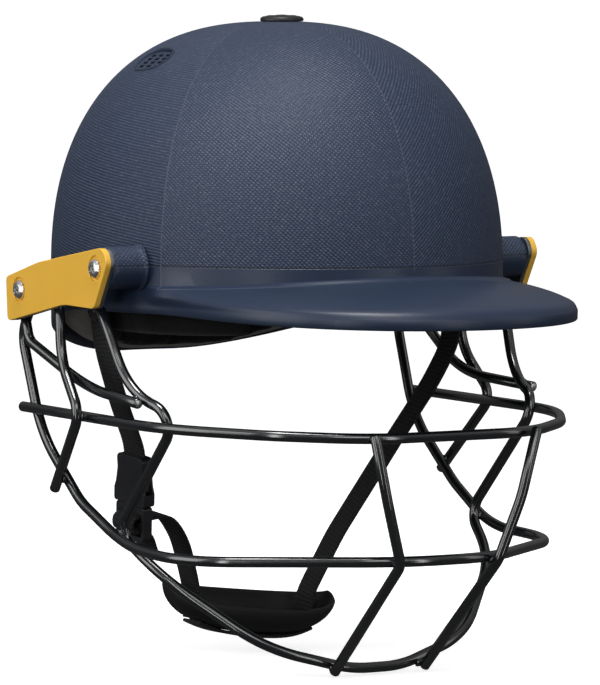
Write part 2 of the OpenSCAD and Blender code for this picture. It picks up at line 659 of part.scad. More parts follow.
// How much narrower on each side and thinner the tongue is than the socket
tongue_inset = 1;
tongue_radii = [1.5, 1.5, 3, 3];
module buckle_tongue() {
    h = buckle_w / 2 - tongue_inset;
    color("#1a1b1f") in_buckle() difference() {
        union() {
            flat_part(socket_thick - tongue_inset) polygon(rounded([[-h, -tongue_gap], [h, -tongue_gap],
                [h, -tongue_len], [-h, -tongue_len]], tongue_radii, 4));
            flat_part(prong_w) translate([-prong_w / 2, -over]) square([prong_w, prong_len]);
            for (s = sides) flat_part(prong_thick) translate([s * prong_y - prong_w / 2, -over])
                square([prong_w, over + tongue_gap]);
        }
        for (z = tongue_slots) flat_part(socket_thick * 2)
            translate([-(web_w + over) / 2, z - tongue_slot_h / 2]) square([web_w + over, tongue_slot_h]);
    }
}
module buckle_prong(side) {
    inner = side * (prong_y - prong_w / 2);
    outer = side * (prong_y + prong_w / 2);
    tip = side * (mouth_half_w - barb_play);
    start = 2 * tongue_gap;
    color("#1a1b1f") in_buckle() flat_part(prong_thick) polygon([[inner, start], [outer, start],
        [outer, barb_z[0]], [tip, barb_z[1]], [tip, barb_z[2]], [side * prong_y, prong_len],
        [inner, prong_len]]);
}

outer_shell();
crown_button();
button_stem();
vent_insert(-1);  // vent_insert_right
vent_insert(1);  // vent_insert_left
impact_liner();
crown_pad();
comfort_band();
rear_pad();
side_pad(-1);  // side_pad_right
side_pad(1);  // side_pad_left
side_plate(-1);  // side_plate_right
side_plate(1);  // side_plate_left
grille_bracket(-1);  // grille_bracket_right
grille_bracket(1);  // grille_bracket_left
plate_screws();
threaded_inserts();
upper_ring();
lower_ring();
chin_bar();
cheek_bar(-1);  // cheek_bar_right
cheek_bar(1);  // cheek_bar_left
side_bar(-1);  // side_bar_right
side_bar(1);  // side_bar_left
front_bar(-1);  // front_bar_right
front_bar(1);  // front_bar_left
strap_anchor(-1);  // strap_anchor_right
strap_anchor(1);  // strap_anchor_left
anchor_rivets();
strap_right();
strap_left();
strap_right_lower();
strap_under();
strap_tail();
buckle_socket();
buckle_tongue();
buckle_prong(-1);  // buckle_prong_front
buckle_prong(1);  // buckle_prong_rear
chin_cup();
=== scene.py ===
import math

import bmesh
import bpy
from bpy.props import FloatProperty, FloatVectorProperty, PointerProperty
from mathutils import Matrix, Vector


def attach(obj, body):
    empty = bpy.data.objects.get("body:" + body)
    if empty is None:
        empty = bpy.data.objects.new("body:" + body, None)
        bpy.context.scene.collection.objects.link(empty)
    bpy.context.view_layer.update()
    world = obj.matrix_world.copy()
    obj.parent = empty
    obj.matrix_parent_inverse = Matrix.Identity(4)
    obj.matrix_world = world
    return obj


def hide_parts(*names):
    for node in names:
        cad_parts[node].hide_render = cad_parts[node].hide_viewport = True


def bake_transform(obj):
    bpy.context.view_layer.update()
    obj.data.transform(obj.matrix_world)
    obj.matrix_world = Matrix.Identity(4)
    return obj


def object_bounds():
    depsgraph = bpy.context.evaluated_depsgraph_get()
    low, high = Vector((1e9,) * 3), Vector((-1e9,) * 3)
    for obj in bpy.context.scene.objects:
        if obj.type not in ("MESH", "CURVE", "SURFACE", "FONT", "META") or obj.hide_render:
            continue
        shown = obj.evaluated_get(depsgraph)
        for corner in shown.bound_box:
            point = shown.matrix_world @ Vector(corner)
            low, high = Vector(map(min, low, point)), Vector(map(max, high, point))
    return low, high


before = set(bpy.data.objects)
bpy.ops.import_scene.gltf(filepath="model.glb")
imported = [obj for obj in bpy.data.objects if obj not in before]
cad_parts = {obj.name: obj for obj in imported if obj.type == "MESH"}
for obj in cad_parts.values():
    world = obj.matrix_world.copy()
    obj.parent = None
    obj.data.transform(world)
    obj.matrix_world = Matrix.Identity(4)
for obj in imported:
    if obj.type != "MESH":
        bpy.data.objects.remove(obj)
CAD_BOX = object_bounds()

bl_info = {
    "name": "Cricket Helmet",
    "version": (1, 0, 0),
    "blender": (4, 5, 0),
    "location": "View3D > Sidebar > Helmet",
    "description": "Dresses a batting helmet: shell, lining, grille, side plates and chin strap",
    "category": "Object",
}

MM = 0.001

# Superellipse exponents of the shell: its plan, and the crown's height and width
PLAN_EXP = 1.92
CROWN_EXP = 2.23
CROWN_SIDE_EXP = 2.5
# Where the six crown panels meet, as outline angles in degrees from the front
PANEL_EDGES = (0, 65, 115, 180, 245, 295, 360)
# Grain angle of the ribbed cloth in each panel, in degrees from level
PANEL_GRAINS = (40, 8, 40, -40, -8, -40)
# How much finer the cross threads lie in each panel
THREAD_SHARES = (1, 2.6, 1, 1, 2.6, 1)
# Shares of reach and drop from the shell wall to the peak's edge
PEAK_PROFILE = ((0, 0), (0.012, 0.01), (0.028, 0.04), (0.05, 0.11), (0.08, 0.155), (0.15, 0.19),
                (0.38, 0.27), (0.62, 0.42), (0.82, 0.60), (0.95, 0.77), (1, 1))
# The blunt nose at each end of the peak: its bulge in metres, and where it goes from none to full,
# by outline angle toward the front and the rear, and by share of drop at its top and its foot
NOSE_BULGE = 0.0028
NOSE_FRONT = (20, 50)
NOSE_REAR = (69.5, 65)
NOSE_TOP = (0, 0.12)
NOSE_FOOT = (0.95, 0.45)
# Exponents of the peak's plan and the angle at which it fades into the side
PEAK_EXP = 2.9
PEAK_TURN = 2.8
PEAK_END = 72
# Outline angles between which the rim falls from the ears to the nape
RIM_FALL = (90, 172)
# The wearer's right is toward -X
HANDS = {"right": -1, "left": 1}


# Sizes and colours


def length(name, default, description):
    return FloatProperty(name=name, default=default, description=description, unit="LENGTH", precision=4)


def colour(name, default, description):
    return FloatVectorProperty(
        name=name, default=default, description=description, subtype="COLOR", size=3, min=0, max=1)


def bearing(name, degrees, description):
    return FloatProperty(
        name=name, default=math.radians(degrees), description=description, subtype="ANGLE")


class HelmetShellSizes(bpy.types.PropertyGroup):
    """Sizes of the moulded shell."""

    half_width: length("Half width", 0.105, "Half width at the widest level")
    front: length("Front", 0.121, "Shell length ahead of the origin")
    rear: length("Rear", 0.127, "Shell length behind the origin")
    crown_base: length("Crown base", 0.029, "Level where the crown begins to close in")
    crown_rise: length("Crown rise", 0.1187, "Rise of the crown above that level")
    wall: length("Wall", 0.003, "Thickness of the shell")
    peak_reach: length("Peak reach", 0.065, "Reach of the peak ahead of the shell")
    peak_lip: length("Peak lip", 0.005, "Height of the peak's rounded edge")
    root_front: length("Root at the front", 0.0297, "Level where the peak leaves the shell in front")
    root_side: length("Root at the side", 0.0245, "Level where the flare begins at the sides")
    peak_edge: length("Peak edge", 0.0127, "Level of the peak's edge in front")
    rim_side: length("Side rim", 0.0143, "Level of the rim at the ears")
    rim_rear: length("Rear rim", -0.0142, "Level of the rim at the nape")
    cloth_edge: length("Cloth edge", 0.0335, "Level where the ribbed crown cloth ends")
    rib_pitch: length("Rib pitch", 0.00142, "Distance between ribs of the crown cloth")


class HelmetLiningSizes(bpy.types.PropertyGroup):
    """Sizes of the foam lining and pads."""

    liner: length("Liner", 0.015, "Thickness of the foam liner")
    pad: length("Pad", 0.009, "Thickness of the brow and nape pads")


class HelmetGrilleSizes(bpy.types.PropertyGroup):
    """Sizes of the wire grille and its side fixings."""

    wire: length("Wire", 0.005, "Diameter of the wire")
    bracket_half_gap: length("Bracket half gap", 0.1164, "Half distance between the inner bracket faces")
    weld: length("Weld", 0.0019, "Radius of the bead where two wires are welded")


class HelmetStrapSizes(bpy.types.PropertyGroup):
    """Sizes of the chin strap."""

    web_width: length("Webbing width", 0.016, "Width of the webbing")
    web_thickness: length("Webbing thickness", 0.0016, "Thickness of the webbing")
    rib: length("Webbing rib", 0.0021, "Distance between cross ribs of the webbing")
    cup_half: length("Cup half length", 0.047, "Half length of the chin cup")
    cup_wall: length("Cup wall", 0.0024, "Thickness of the chin cup")


class HelmetColours(bpy.types.PropertyGroup):
    """Colours of the finishes."""

    navy: colour("Navy", (0.0185, 0.0305, 0.061), "Shell")
    yellow: colour("Yellow", (0.93, 0.53, 0.062), "Side plates")
    wire: colour("Wire coat", (0.0045, 0.006, 0.0075), "Grille wire coating")
    black: colour("Black", (0.0055, 0.0058, 0.0065), "Webbing, pads and cup")
    lining: colour("Lining", (0.32, 0.305, 0.275), "Cloth on the foam liner")
    steel: colour("Steel", (0.24, 0.25, 0.26), "Bracket")


class HelmetStudioSizes(bpy.types.PropertyGroup):
    """Camera and light settings."""

    azimuth: bearing("Azimuth", -32, "Camera bearing from the front")
    elevation: bearing("Elevation", 3.47, "Camera height angle")
    distance: length("Distance", 2.8, "Camera distance from the origin")
    across: length("Across", 0.01085, "Camera offset to its right")
    lift: length("Lift", -0.00737, "Camera offset upward")
    focal_pixels: FloatProperty(
        name="Focal length", default=5796, description="Focal length in pixels of the photograph")


GROUPS = {
    "helmet_shell": HelmetShellSizes,
    "helmet_lining": HelmetLiningSizes,
    "helmet_grille": HelmetGrilleSizes,
    "helmet_strap": HelmetStrapSizes,
    "helmet_colours": HelmetColours,
    "helmet_studio": HelmetStudioSizes,
}


# Outline and path formulas


def spow(value, exponent):
    """Power that keeps the sign, for superellipses."""
    return math.copysign(abs(value) ** exponent, value)


def ease(value):
    """Smooth step from 0 to 1."""
    c = min(1, max(0, value))
    return c * c * (3 - 2 * c)


def eased(value, none, full):
    """Smooth step from 0 where a value is at none to 1 where it is at full."""
    return ease((value - none) / (full - none))


def from_front(angle):
    """Angle from the front, 0 to 180, for an outline angle."""
    return abs(angle - 360) if angle > 180 else abs(angle)


def ring(steps, offset=0.0):
    """Angles in radians of evenly spaced steps round a circle."""
    return [2 * math.pi * (k + offset) / steps for k in range(steps)]


def spaced(first, last, count):
    """Evenly spaced values with both ends."""
    return [first + (last - first) * k / (count - 1) for k in range(count)]


def plan(shell, angle, inset=0.0):
    """Point of the shell's plan outline; angle 0 is the front and 90 the wearer's left."""
    t = math.radians(angle)
    along = shell.front if math.cos(t) > 0 else shell.rear
    return Vector((
        (shell.half_width - inset) * spow(math.sin(t), 2 / PLAN_EXP),
        -(along - inset) * spow(math.cos(t), 2 / PLAN_EXP),
        0))


def crown(shell, angle, down, inset=0.0):
    """Point of the crown, down degrees from the top."""
    d = math.radians(down)
    point = plan(shell, angle, inset) * math.sin(d) ** (2 / CROWN_SIDE_EXP)
    point.z = shell.crown_base + (shell.crown_rise - inset) * math.cos(d) ** (2 / CROWN_EXP)
    return point


def reach(shell, angle):
    """How far the peak stands out from the shell at an outline angle."""
    u = from_front(angle) / PEAK_END
    return 0 if u >= 1 else shell.peak_reach * (1 - u ** PEAK_TURN) ** PEAK_EXP


def opened(shell, angle):
    """Share of its full reach that the peak has at an outline angle."""
    return reach(shell, angle) / shell.peak_reach


def nose(angle, drop):
    """Outward swell of the flare where the peak ends in a blunt nose, by its share of drop."""
    a = from_front(angle)
    along = eased(a, *NOSE_FRONT) * eased(a, *NOSE_REAR)
    return NOSE_BULGE * along * eased(drop, *NOSE_TOP) * eased(drop, *NOSE_FOOT)


def root(shell, angle):
    """Level where the flare leaves the shell's wall."""
    return shell.root_front + (shell.root_side - shell.root_front) * ease(from_front(angle) / PEAK_END)


def edge_height(shell, angle):
    """Level of the top of the shell's rounded edge."""
    a = from_front(angle)
    if a < PEAK_END:
        return shell.peak_edge + (shell.rim_side - shell.peak_edge) * ease(a / PEAK_END)
    return shell.rim_side + (shell.rim_rear - shell.rim_side) * eased(a, *RIM_FALL)


def smooth_through(points, steps):
    """Catmull-Rom curve through points of any dimension."""
    out = []
    for i in range(len(points) - 1):
        p0 = Vector(points[max(i - 1, 0)])
        p1 = Vector(points[i])
        p2 = Vector(points[i + 1])
        p3 = Vector(points[min(i + 2, len(points) - 1)])
        for k in range(steps):
            t = k / steps
            out.append(0.5 * (2 * p1 + (p2 - p0) * t + (2 * p0 - 5 * p1 + 4 * p2 - p3) * t * t
                              + (3 * p1 - p0 - 3 * p2 + p3) * t ** 3))
    out.append(Vector(points[-1]))
    return out


# Turn in radians below which a corner stays as it is, and the largest share of a straight run
# that a bend takes up
LEAST_TURN = 0.02
RUN_SHARE = 0.48


def corner(before, at, after, radius, steps):
    """Arc that rounds the corner at a point of a path."""
    u = (before - at).normalized()
    w = (after - at).normalized()
    turn = math.pi - u.angle(w)
    if radius <= 0 or turn < LEAST_TURN:
        return [at]
    half = math.tan((math.pi - turn) / 2)
    cut = min(radius / half, RUN_SHARE * min((before - at).length, (after - at).length))
    centre = at + (u + w).normalized() * cut / math.cos((math.pi - turn) / 2)
    start, end = at + u * cut - centre, at + w * cut - centre
    shares = [k / steps for k in range(steps + 1)]
    return [centre + (start * math.sin((1 - t) * turn) + end * math.sin(t * turn)) / math.sin(turn)
            for t in shares]


def bent(points, radii, steps):
    """Path through points in millimetres with rounded corners, returned in metres."""
    pts = [Vector(p) * MM for p in points]
    out = [pts[0]]
    for i in range(1, len(pts) - 1):
        out += corner(pts[i - 1], pts[i], pts[i + 1], radii[i] * MM, steps)
    return out + [pts[-1]]


# A last step shorter than this share of the others is joined to the one before it
SHORT_STEP = 0.3


def resampled(path, step):
    """The same path with points about a step apart."""
    out = [path[0].copy()]
    carry = 0.0
    for a, b in zip(path, path[1:]):
        span = (b - a).length
        at = step - carry
        while at < span:
            out.append(a.lerp(b, at / span))
            at += step
        carry = span - (at - step)
    out.append(path[-1].copy())
    if (out[-1] - out[-2]).length < SHORT_STEP * step:
        del out[-2]
    return out


def relaxed(path, passes):
    """Path with its small kinks eased out; the ends stay."""
    pts = [p.copy() for p in path]
    for _ in range(passes):
        pts = [pts[0]] + [(a + 2 * b + c) / 4 for a, b, c in zip(pts, pts[1:], pts[2:])] + [pts[-1]]
    return pts


def mirrored(points):
    return [Vector((-p[0], p[1], p[2])) for p in points]


# Mesh makers


def placed(name, data):
    """Object in the scene with a mesh, a light or a camera."""
    piece = bpy.data.objects.new(name, data)
    bpy.context.scene.collection.objects.link(piece)
    return piece


def from_bmesh(name, bm):
    """Smooth object with a worked mesh, which is then freed."""
    mesh = bpy.data.meshes.new(name)
    bm.to_mesh(mesh)
    bm.free()
    mesh.shade_smooth()
    return placed(name, mesh)


def skin(name, verts, faces, uvs):
    """Smooth object from points, faces and a place in its layout for each corner of a face."""
    mesh = bpy.data.meshes.new(name)
    mesh.from_pydata([tuple(v) for v in verts], [], faces)
    layer = mesh.uv_layers.new(name="UVMap")
    for loop, uv in zip(layer.data, uvs):
        loop.uv = uv
    mesh.validate()
    bm = bmesh.new()
    bm.from_mesh(mesh)
    bmesh.ops.recalc_face_normals(bm, faces=bm.faces)
    bm.to_mesh(mesh)
    bm.free()
    mesh.shade_smooth()
    return placed(name, mesh)


def grid(name, rows, wrap=True, tips=(None, None), close=False, corner_uv=None):
    """Skin over rows of points. Tips close the stack with a point at each end; close fills its ends."""
    n = len(rows[0])
    verts = [p for row in rows for p in row]
    faces, uvs = [], []
    for i in range(len(rows) - 1):
        for j in range(n if wrap else n - 1):
            k = (j + 1) % n
            faces.append((i * n + j, i * n + k, (i + 1) * n + k, (i + 1) * n + j))
            uvs += corner_uv(i, j) if corner_uv else [(j / n, i / len(rows))] * 4
    last = (len(rows) - 1) * n
    for tip, base, row in ((tips[0], 0, 0), (tips[1], last, len(rows) - 1)):
        if tip is not None:
            verts.append(tip)
            for j in range(n):
                faces.append((len(verts) - 1, base + j, base + (j + 1) % n))
                uvs += [corner_uv(min(row, len(rows) - 2), j)[0]] * 3 if corner_uv else [(0, 0)] * 3
    if close:
        faces.append(tuple(range(n)))
        faces.append(tuple(range(last + n - 1, last - 1, -1)))
        uvs += [(0, 0)] * 2 * n
    return skin(name, verts, faces, uvs)


def run_lengths(points):
    """Length of a path up to each of its points."""
    lengths = [0.0]
    for a, b in zip(points, points[1:]):
        lengths.append(lengths[-1] + (b - a).length)
    return lengths


def tangent(path, i):
    return (path[min(i + 1, len(path) - 1)] - path[max(i - 1, 0)]).normalized()


def strip_layout(across, along):
    """Layout of a skin whose columns and rows lie at places across and along it."""
    def corner_uv(i, j):
        k = (j + 1) % len(across)
        return [(across[j], along[i]), (across[k], along[i]),
                (across[k], along[i + 1]), (across[j], along[i + 1])]

    return corner_uv


def carried_frames(path):
    """Tangent and a steady side vector at each point of a path."""
    frames = []
    side = None
    for i in range(len(path)):
        t = tangent(path, i)
        if side is None:
            side = t.cross(Vector((1, 0, 0)) if abs(t.z) > 0.9 else Vector((0, 0, 1)))
        side = (side - t * side.dot(t)).normalized()
        frames.append((t, side.copy()))
    return frames


def rod(name, path, radius, sides=20, round_end=0.35):
    """Round bar along a path, its ends slightly rounded."""
    frames = carried_frames(path)
    back = radius * round_end
    stations = [(path[0], frames[0], 1 - round_end)]
    for i, (p, f) in enumerate(zip(path, frames)):
        stations.append((p + f[0] * (back if i == 0 else -back if i == len(path) - 1 else 0), f, 1))
    stations.append((path[-1], frames[-1], 1 - round_end))
    rows = []
    for p, (t, s), share in stations:
        b = t.cross(s)
        rows.append([p + radius * share * (math.cos(a) * s + math.sin(a) * b) for a in ring(sides)])
    layout = strip_layout([j / sides for j in range(sides + 1)], run_lengths([p for p, _, _ in stations]))
    return grid(name, rows, close=True, corner_uv=layout)


# Webbing: the two points of each rounded edge, back from the edge and up in shares of half the
# thickness; the points between them in shares of half the width; the spacing of points along a
# coarse and a fine route; and the depth and pitch of the small waves along its edges
WEB_EDGE = ((0.2, 0.45), (0.9, 1))
WEB_FACE = (0.6, 0.2, -0.2, -0.6)
WEB_COARSE, WEB_FINE = 0.003, 0.0008
WEB_WAVE, WEB_WAVE_PITCH = 0.012, 0.0017


def webbing(name, path, across, width, thickness, coarse=WEB_COARSE):
    """Flat woven strap along a path. Its width turns from the first across direction to the second."""
    path = resampled(relaxed(resampled(path, coarse), 3), WEB_FINE)
    half, edge = width / 2, thickness / 2
    outline = []
    for side in (1, -1):
        outline += [(side * (half - edge * back), side * edge * up) for back, up in WEB_EDGE]
        outline += [(side * half * share, side * edge) for share in WEB_FACE]
        outline += [(-side * (half - edge * back), side * edge * up) for back, up in reversed(WEB_EDGE)]
    lengths = run_lengths(path)
    rows = []
    for i, p in enumerate(path):
        t = tangent(path, i)
        turn = across[0].lerp(across[1], ease(i / (len(path) - 1)))
        a = (turn - t * turn.dot(t)).normalized()
        n = t.cross(a)
        wave = 1 + WEB_WAVE * math.sin(lengths[i] / WEB_WAVE_PITCH * 2 * math.pi)
        rows.append([p + a * u * wave + n * v for u, v in outline])
    layout = strip_layout([u + half for u, _ in outline], lengths)
    return grid(name, rows, close=True, corner_uv=layout)


def shaded(piece, sharp):
    """Smooth shading that keeps edges sharp above an angle in degrees."""
    piece.data.shade_smooth()
    piece.data.set_sharp_from_angle(angle=math.radians(sharp))


# Steps round a turned piece, and the angle above which its edges are shaded sharp
TURN_STEPS, TURN_SHARP = 64, 40


def turned(name, profile, centre):
    """Solid of revolution about an upright axis through a centre, from (radius, height) points."""
    rows = [[centre + Vector((r * math.cos(a), r * math.sin(a), h)) for a in ring(TURN_STEPS)]
            for r, h in profile]
    piece = grid(name, rows, close=True)
    shaded(piece, TURN_SHARP)
    return piece


# Angles in degrees for a copied solid: faces flatter than the first become one, edges sharper
# than the second are eased, and edges sharper than the third are shaded sharp
FLAT_ANGLE, EASED_ANGLE, SHARP_ANGLE = 2, 28, 35
SAME_POINT = 1e-6


def bevelled_copy(name, node, width, segments=3):
    """Copy of a solid's own mesh with its sharp edges eased, to stand for it."""
    bm = bmesh.new()
    bm.from_mesh(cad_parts[node].data)
    bmesh.ops.remove_doubles(bm, verts=bm.verts, dist=SAME_POINT)
    bmesh.ops.dissolve_limit(bm, angle_limit=math.radians(FLAT_ANGLE), verts=bm.verts, edges=bm.edges)
    piece = from_bmesh(name, bm)
    modified(piece, "Eased edges", "BEVEL", width=width, segments=segments, limit_method="ANGLE",
             angle_limit=math.radians(EASED_ANGLE))
    shaded(piece, SHARP_ANGLE)
    modified(piece, "Flat faces", "WEIGHTED_NORMAL", keep_sharp=True)
    return piece


def apply_modifiers(piece):
    graph = bpy.context.evaluated_depsgraph_get()
    mesh = bpy.data.meshes.new_from_object(piece.evaluated_get(graph))
    piece.modifiers.clear()
    piece.data = mesh


def modified(piece, name, kind, **settings):
    """Changes a piece by a modifier, which is applied."""
    modifier = piece.modifiers.new(name, kind)
    for key, value in settings.items():
        setattr(modifier, key, value)
    apply_modifiers(piece)


def cut_with(piece, cutter):
    """Takes the cutter's space out of a piece, and removes the cutter."""
    modified(piece, "Cut", "BOOLEAN", operation="DIFFERENCE", solver="EXACT", object=cutter)
    bpy.data.objects.remove(cutter)


FINISH = "_finish"


def coat(piece, *finishes):
    """Gives a piece its finishes by name, in the order of its material slots."""
    piece.data.materials.clear()
    for name in finishes:
        piece.data.materials.append(bpy.data.materials[name + FINISH])


def settle(piece, body, slot, *replaces, finish=None, pad=None):
    """Gives a finished piece its body and its finish, by default its slot's, and hides the solids it
    stands for.
    """
    coat(piece, *(finish or [slot]))
    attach(piece, body)
    if replaces:
        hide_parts(*replaces)


# Finishes


def put(tree, kind, inputs=None, **settings):
    """Adds a shader node, with its settings and its inputs as values or links."""
    node = tree.nodes.new("ShaderNode" + kind)
    for key, value in settings.items():
        setattr(node, key, value)
    for key, value in (inputs or {}).items():
        socket = node.inputs[key]
        if isinstance(value, bpy.types.NodeSocket):
            tree.links.new(value, socket)
        else:
            socket.default_value = value
    return node


def sums(tree, operation, a, b=0.0, c=0.0):
    return put(tree, "Math", {0: a, 1: b, 2: c}, operation=operation).outputs[0]


def times(tree, a, b):
    return sums(tree, "MULTIPLY", a, b)


def scaled(tree, value, gain, start):
    """Value times a gain, added to a start."""
    return sums(tree, "MULTIPLY_ADD", value, gain, start)


def blended(tree, share, a, b):
    return put(tree, "Mix", {0: share, 6: a, 7: b}, data_type="RGBA").outputs[2]


def tinted(tree, share, amount, under, over):
    """Lays one colour over another by a share, up to an amount."""
    return blended(tree, times(tree, share, amount), under, over)


def ramp(tree, value, low, high):
    """Smooth step of a value between two limits."""
    return put(tree, "MapRange", {0: value, 1: low, 2: high}, interpolation_type="SMOOTHSTEP").outputs[0]


def grain(tree, place, scale, detail=3.0, roughness=0.55):
    inputs = {"Vector": place, "Scale": scale, "Detail": detail, "Roughness": roughness}
    return put(tree, "TexNoise", inputs).outputs["Fac"]


def cells(tree, place, scale):
    """Distance to the nearest of scattered points."""
    return put(tree, "TexVoronoi", {"Vector": place, "Scale": scale}, feature="F1").outputs["Distance"]


def stripes(tree, value, pitch):
    """Wave from 0 to 1 along a coordinate in metres."""
    return scaled(tree, sums(tree, "SINE", times(tree, value, 2 * math.pi / pitch)), 0.5, 0.5)


def raised(tree, height, distance, strength):
    """Small relief from a height, as deep as a distance in metres."""
    inputs = {"Height": height, "Distance": distance, "Strength": strength}
    return put(tree, "Bump", inputs).outputs["Normal"]


def shade(rgb, share):
    return tuple(min(1, c * share) for c in rgb) + (1,)


def start_finish(name, **sockets):
    """New material: its node tree, its shader and the place in the model, in metres."""
    finish = bpy.data.materials.new(name + FINISH)
    finish.use_nodes = True
    tree = finish.node_tree
    shader = tree.nodes["Principled BSDF"]
    for key, value in sockets.items():
        shader.inputs[key.replace("_", " ")].default_value = value
    return tree, shader, put(tree, "TexCoord").outputs["Object"]


def laid_out(tree):
    """Across and along a piece's own layout, in metres."""
    split = put(tree, "SeparateXYZ", {0: put(tree, "TexCoord").outputs["UV"]})
    return split.outputs["X"], split.outputs["Y"]


def link_finish(tree, shader, **values):
    for key, value in values.items():
        tree.links.new(value, shader.inputs[key.replace("_", " ")])


# Shares of the shell's navy: its mottle from dark to light, the painted shade in the groove between ribs,
# a rib's crest lightened as a painted highlight, and the painted shadow line where the cloth ends
NAVY_MOTTLE = (0.82, 1.18)
NAVY_GROOVE_SHADE, NAVY_CREST_HIGHLIGHT, NAVY_SHADOW = 0.45, 2.6, 0.25
# Pale colours of the painted glints on the ribs and of the painted highlight along the seams between
# panels
GLINT = (0.14, 0.16, 0.20, 1)
SEAM_HIGHLIGHT = (0.09, 0.105, 0.14, 1)
# Where the wire's coat is worn, and the dust on the cup
WORN_GREY = (0.06, 0.062, 0.066, 1)
DUST = (0.12, 0.12, 0.12, 1)
# Half the blur of the cloth's edge, and where the shadow above it is full, fades and is gone
CLOTH_BLUR = 0.0002
SHADOW_FULL, SHADOW_FADE, SHADOW_GONE = 0.0003, 0.0006, 0.0014


def shell_finish(colours, shell):
    """Navy moulding with a ribbed, woven-looking crown and a plain satin band and peak."""
    tree, shader, place = start_finish("navy_shell", Roughness=0.5, IOR=1.48, Specular_IOR_Level=0.42)
    across, along = laid_out(tree)
    height = put(tree, "SeparateXYZ", {0: place}).outputs["Z"]
    edge = shell.cloth_edge
    cloth_seen = ramp(tree, height, edge - CLOTH_BLUR, edge + CLOTH_BLUR)
    shadow = times(tree, ramp(tree, height, edge, edge + SHADOW_FULL),
                   ramp(tree, height, edge + SHADOW_GONE, edge + SHADOW_FADE))
    wander = scaled(tree, grain(tree, place, 60, 2), 0.0007, across)
    ribs = stripes(tree, wander, shell.rib_pitch)
    threads = stripes(tree, along, shell.rib_pitch * 1.15)
    weave = times(tree, ribs, scaled(tree, threads, 0.7, 0.3))
    seam = ramp(tree, put(tree, "Attribute", attribute_name="seam").outputs["Fac"], 0.86, 0.93)
    cloth = times(tree, weave, cloth_seen)
    mottle = grain(tree, place, 22, 4)
    glint = times(tree, cloth, ramp(tree, grain(tree, place, 620, 2), 0.45, 0.72))
    navy = colours.navy
    base = blended(tree, mottle, *(shade(navy, share) for share in NAVY_MOTTLE))
    # Painted shade: the ribbed cloth is darkened toward its grooves
    base = tinted(tree, cloth_seen, 0.35, base, shade(navy, NAVY_GROOVE_SHADE))
    # Painted highlight: the crests of the ribs are lightened
    base = tinted(tree, cloth, 0.7, base, shade(navy, NAVY_CREST_HIGHLIGHT))
    base = tinted(tree, glint, 0.6, base, GLINT)
    base = tinted(tree, shadow, 0.75, base, shade(navy, NAVY_SHADOW))
    level = scaled(tree, cloth, 1.0, times(tree, grain(tree, place, 1500, 2), 0.16))
    level = scaled(tree, seam, 0.5, level)
    level = scaled(tree, cloth_seen, -1.3, level)
    # Painted highlight: the seams are lightened along their ridges
    link_finish(tree, shader, Base_Color=tinted(tree, seam, 0.5, base, SEAM_HIGHLIGHT),
                Roughness=scaled(tree, cloth_seen, 0.13, scaled(tree, mottle, 0.08, 0.33)),
                Normal=raised(tree, level, 0.00026, 0.85))


def coat_finish(colours):
    """Satin powder coat on wire, a little worn to grey."""
    tree, shader, place = start_finish("wire_coat", Roughness=0.24, IOR=2.0)
    mottle = grain(tree, place, 90, 4)
    worn = ramp(tree, grain(tree, place, 240, 5, 0.7), 0.62, 0.75)
    base = blended(tree, mottle, shade(colours.wire, 0.8), shade(colours.wire, 1.7))
    link_finish(tree, shader, Base_Color=tinted(tree, worn, 0.35, base, WORN_GREY),
                Roughness=scaled(tree, mottle, 0.06, 0.15),
                Normal=raised(tree, grain(tree, place, 2200, 2), 0.00001, 0.3))


def metal_finish(name, rgb, roughness, scale, bite):
    """Bare metal with a faint drawn mottle."""
    tree, shader, place = start_finish(name, Metallic=1.0, Roughness=roughness)
    stretch = put(tree, "Mapping", {"Vector": place, "Scale": (1, 1, 6)}).outputs[0]
    mottle = grain(tree, stretch, scale, 4)
    link_finish(tree, shader, Base_Color=blended(tree, mottle, shade(rgb, 0.75), shade(rgb, 1.15)),
                Roughness=scaled(tree, mottle, 0.2, roughness - 0.08),
                Normal=raised(tree, mottle, bite, 0.5))


def plastic_finish(name, rgb, roughness, scale=1800, bite=0.00006, spread=0.18):
    """Moulded plastic with a fine spark-eroded grain and a slight colour drift."""
    tree, shader, place = start_finish(name, Roughness=roughness, IOR=1.5)
    drift = grain(tree, place, 35, 3)
    base = blended(tree, drift, shade(rgb, 1 - spread), shade(rgb, 1 + spread))
    link_finish(tree, shader, Base_Color=base,
                Roughness=scaled(tree, drift, 0.12, roughness - 0.06),
                Normal=raised(tree, grain(tree, place, scale, 2), bite, 0.6))


def rubber_finish(colours):
    """Matt moulded rubber with dust specks."""
    tree, shader, place = start_finish("cup_rubber", Roughness=0.6, IOR=1.5, Specular_IOR_Level=0.35)
    drift = grain(tree, place, 40, 3)
    dust = times(tree, ramp(tree, cells(tree, place, 420), 0.11, 0.05), ramp(tree, drift, 0.5, 0.62))
    base = blended(tree, drift, shade(colours.black, 1.3), shade(colours.black, 2.2))
    link_finish(tree, shader, Base_Color=tinted(tree, dust, 0.5, base, DUST),
                Roughness=scaled(tree, drift, 0.14, 0.5),
                Normal=raised(tree, grain(tree, place, 1100, 3), 0.00008, 0.6))


def webbing_finish(colours, strap):
    """Black webbing with ribs across it and a fine weave."""
    tree, shader, place = start_finish(
        "webbing", Roughness=0.72, Specular_IOR_Level=0.35, Sheen_Weight=0.05)
    across, along = laid_out(tree)
    yarn = stripes(tree, across, strap.rib * 0.62)
    weave = times(tree, stripes(tree, along, strap.rib), scaled(tree, yarn, 0.4, 0.6))
    fuzz = grain(tree, place, 900, 3)
    base = blended(tree, weave, shade(colours.black, 0.55), shade(colours.black, 2.3))
    link_finish(tree, shader, Base_Color=tinted(tree, fuzz, 0.3, base, shade(colours.black, 3.2)),
                Normal=raised(tree, scaled(tree, fuzz, 0.25, weave), 0.00028, 0.9))


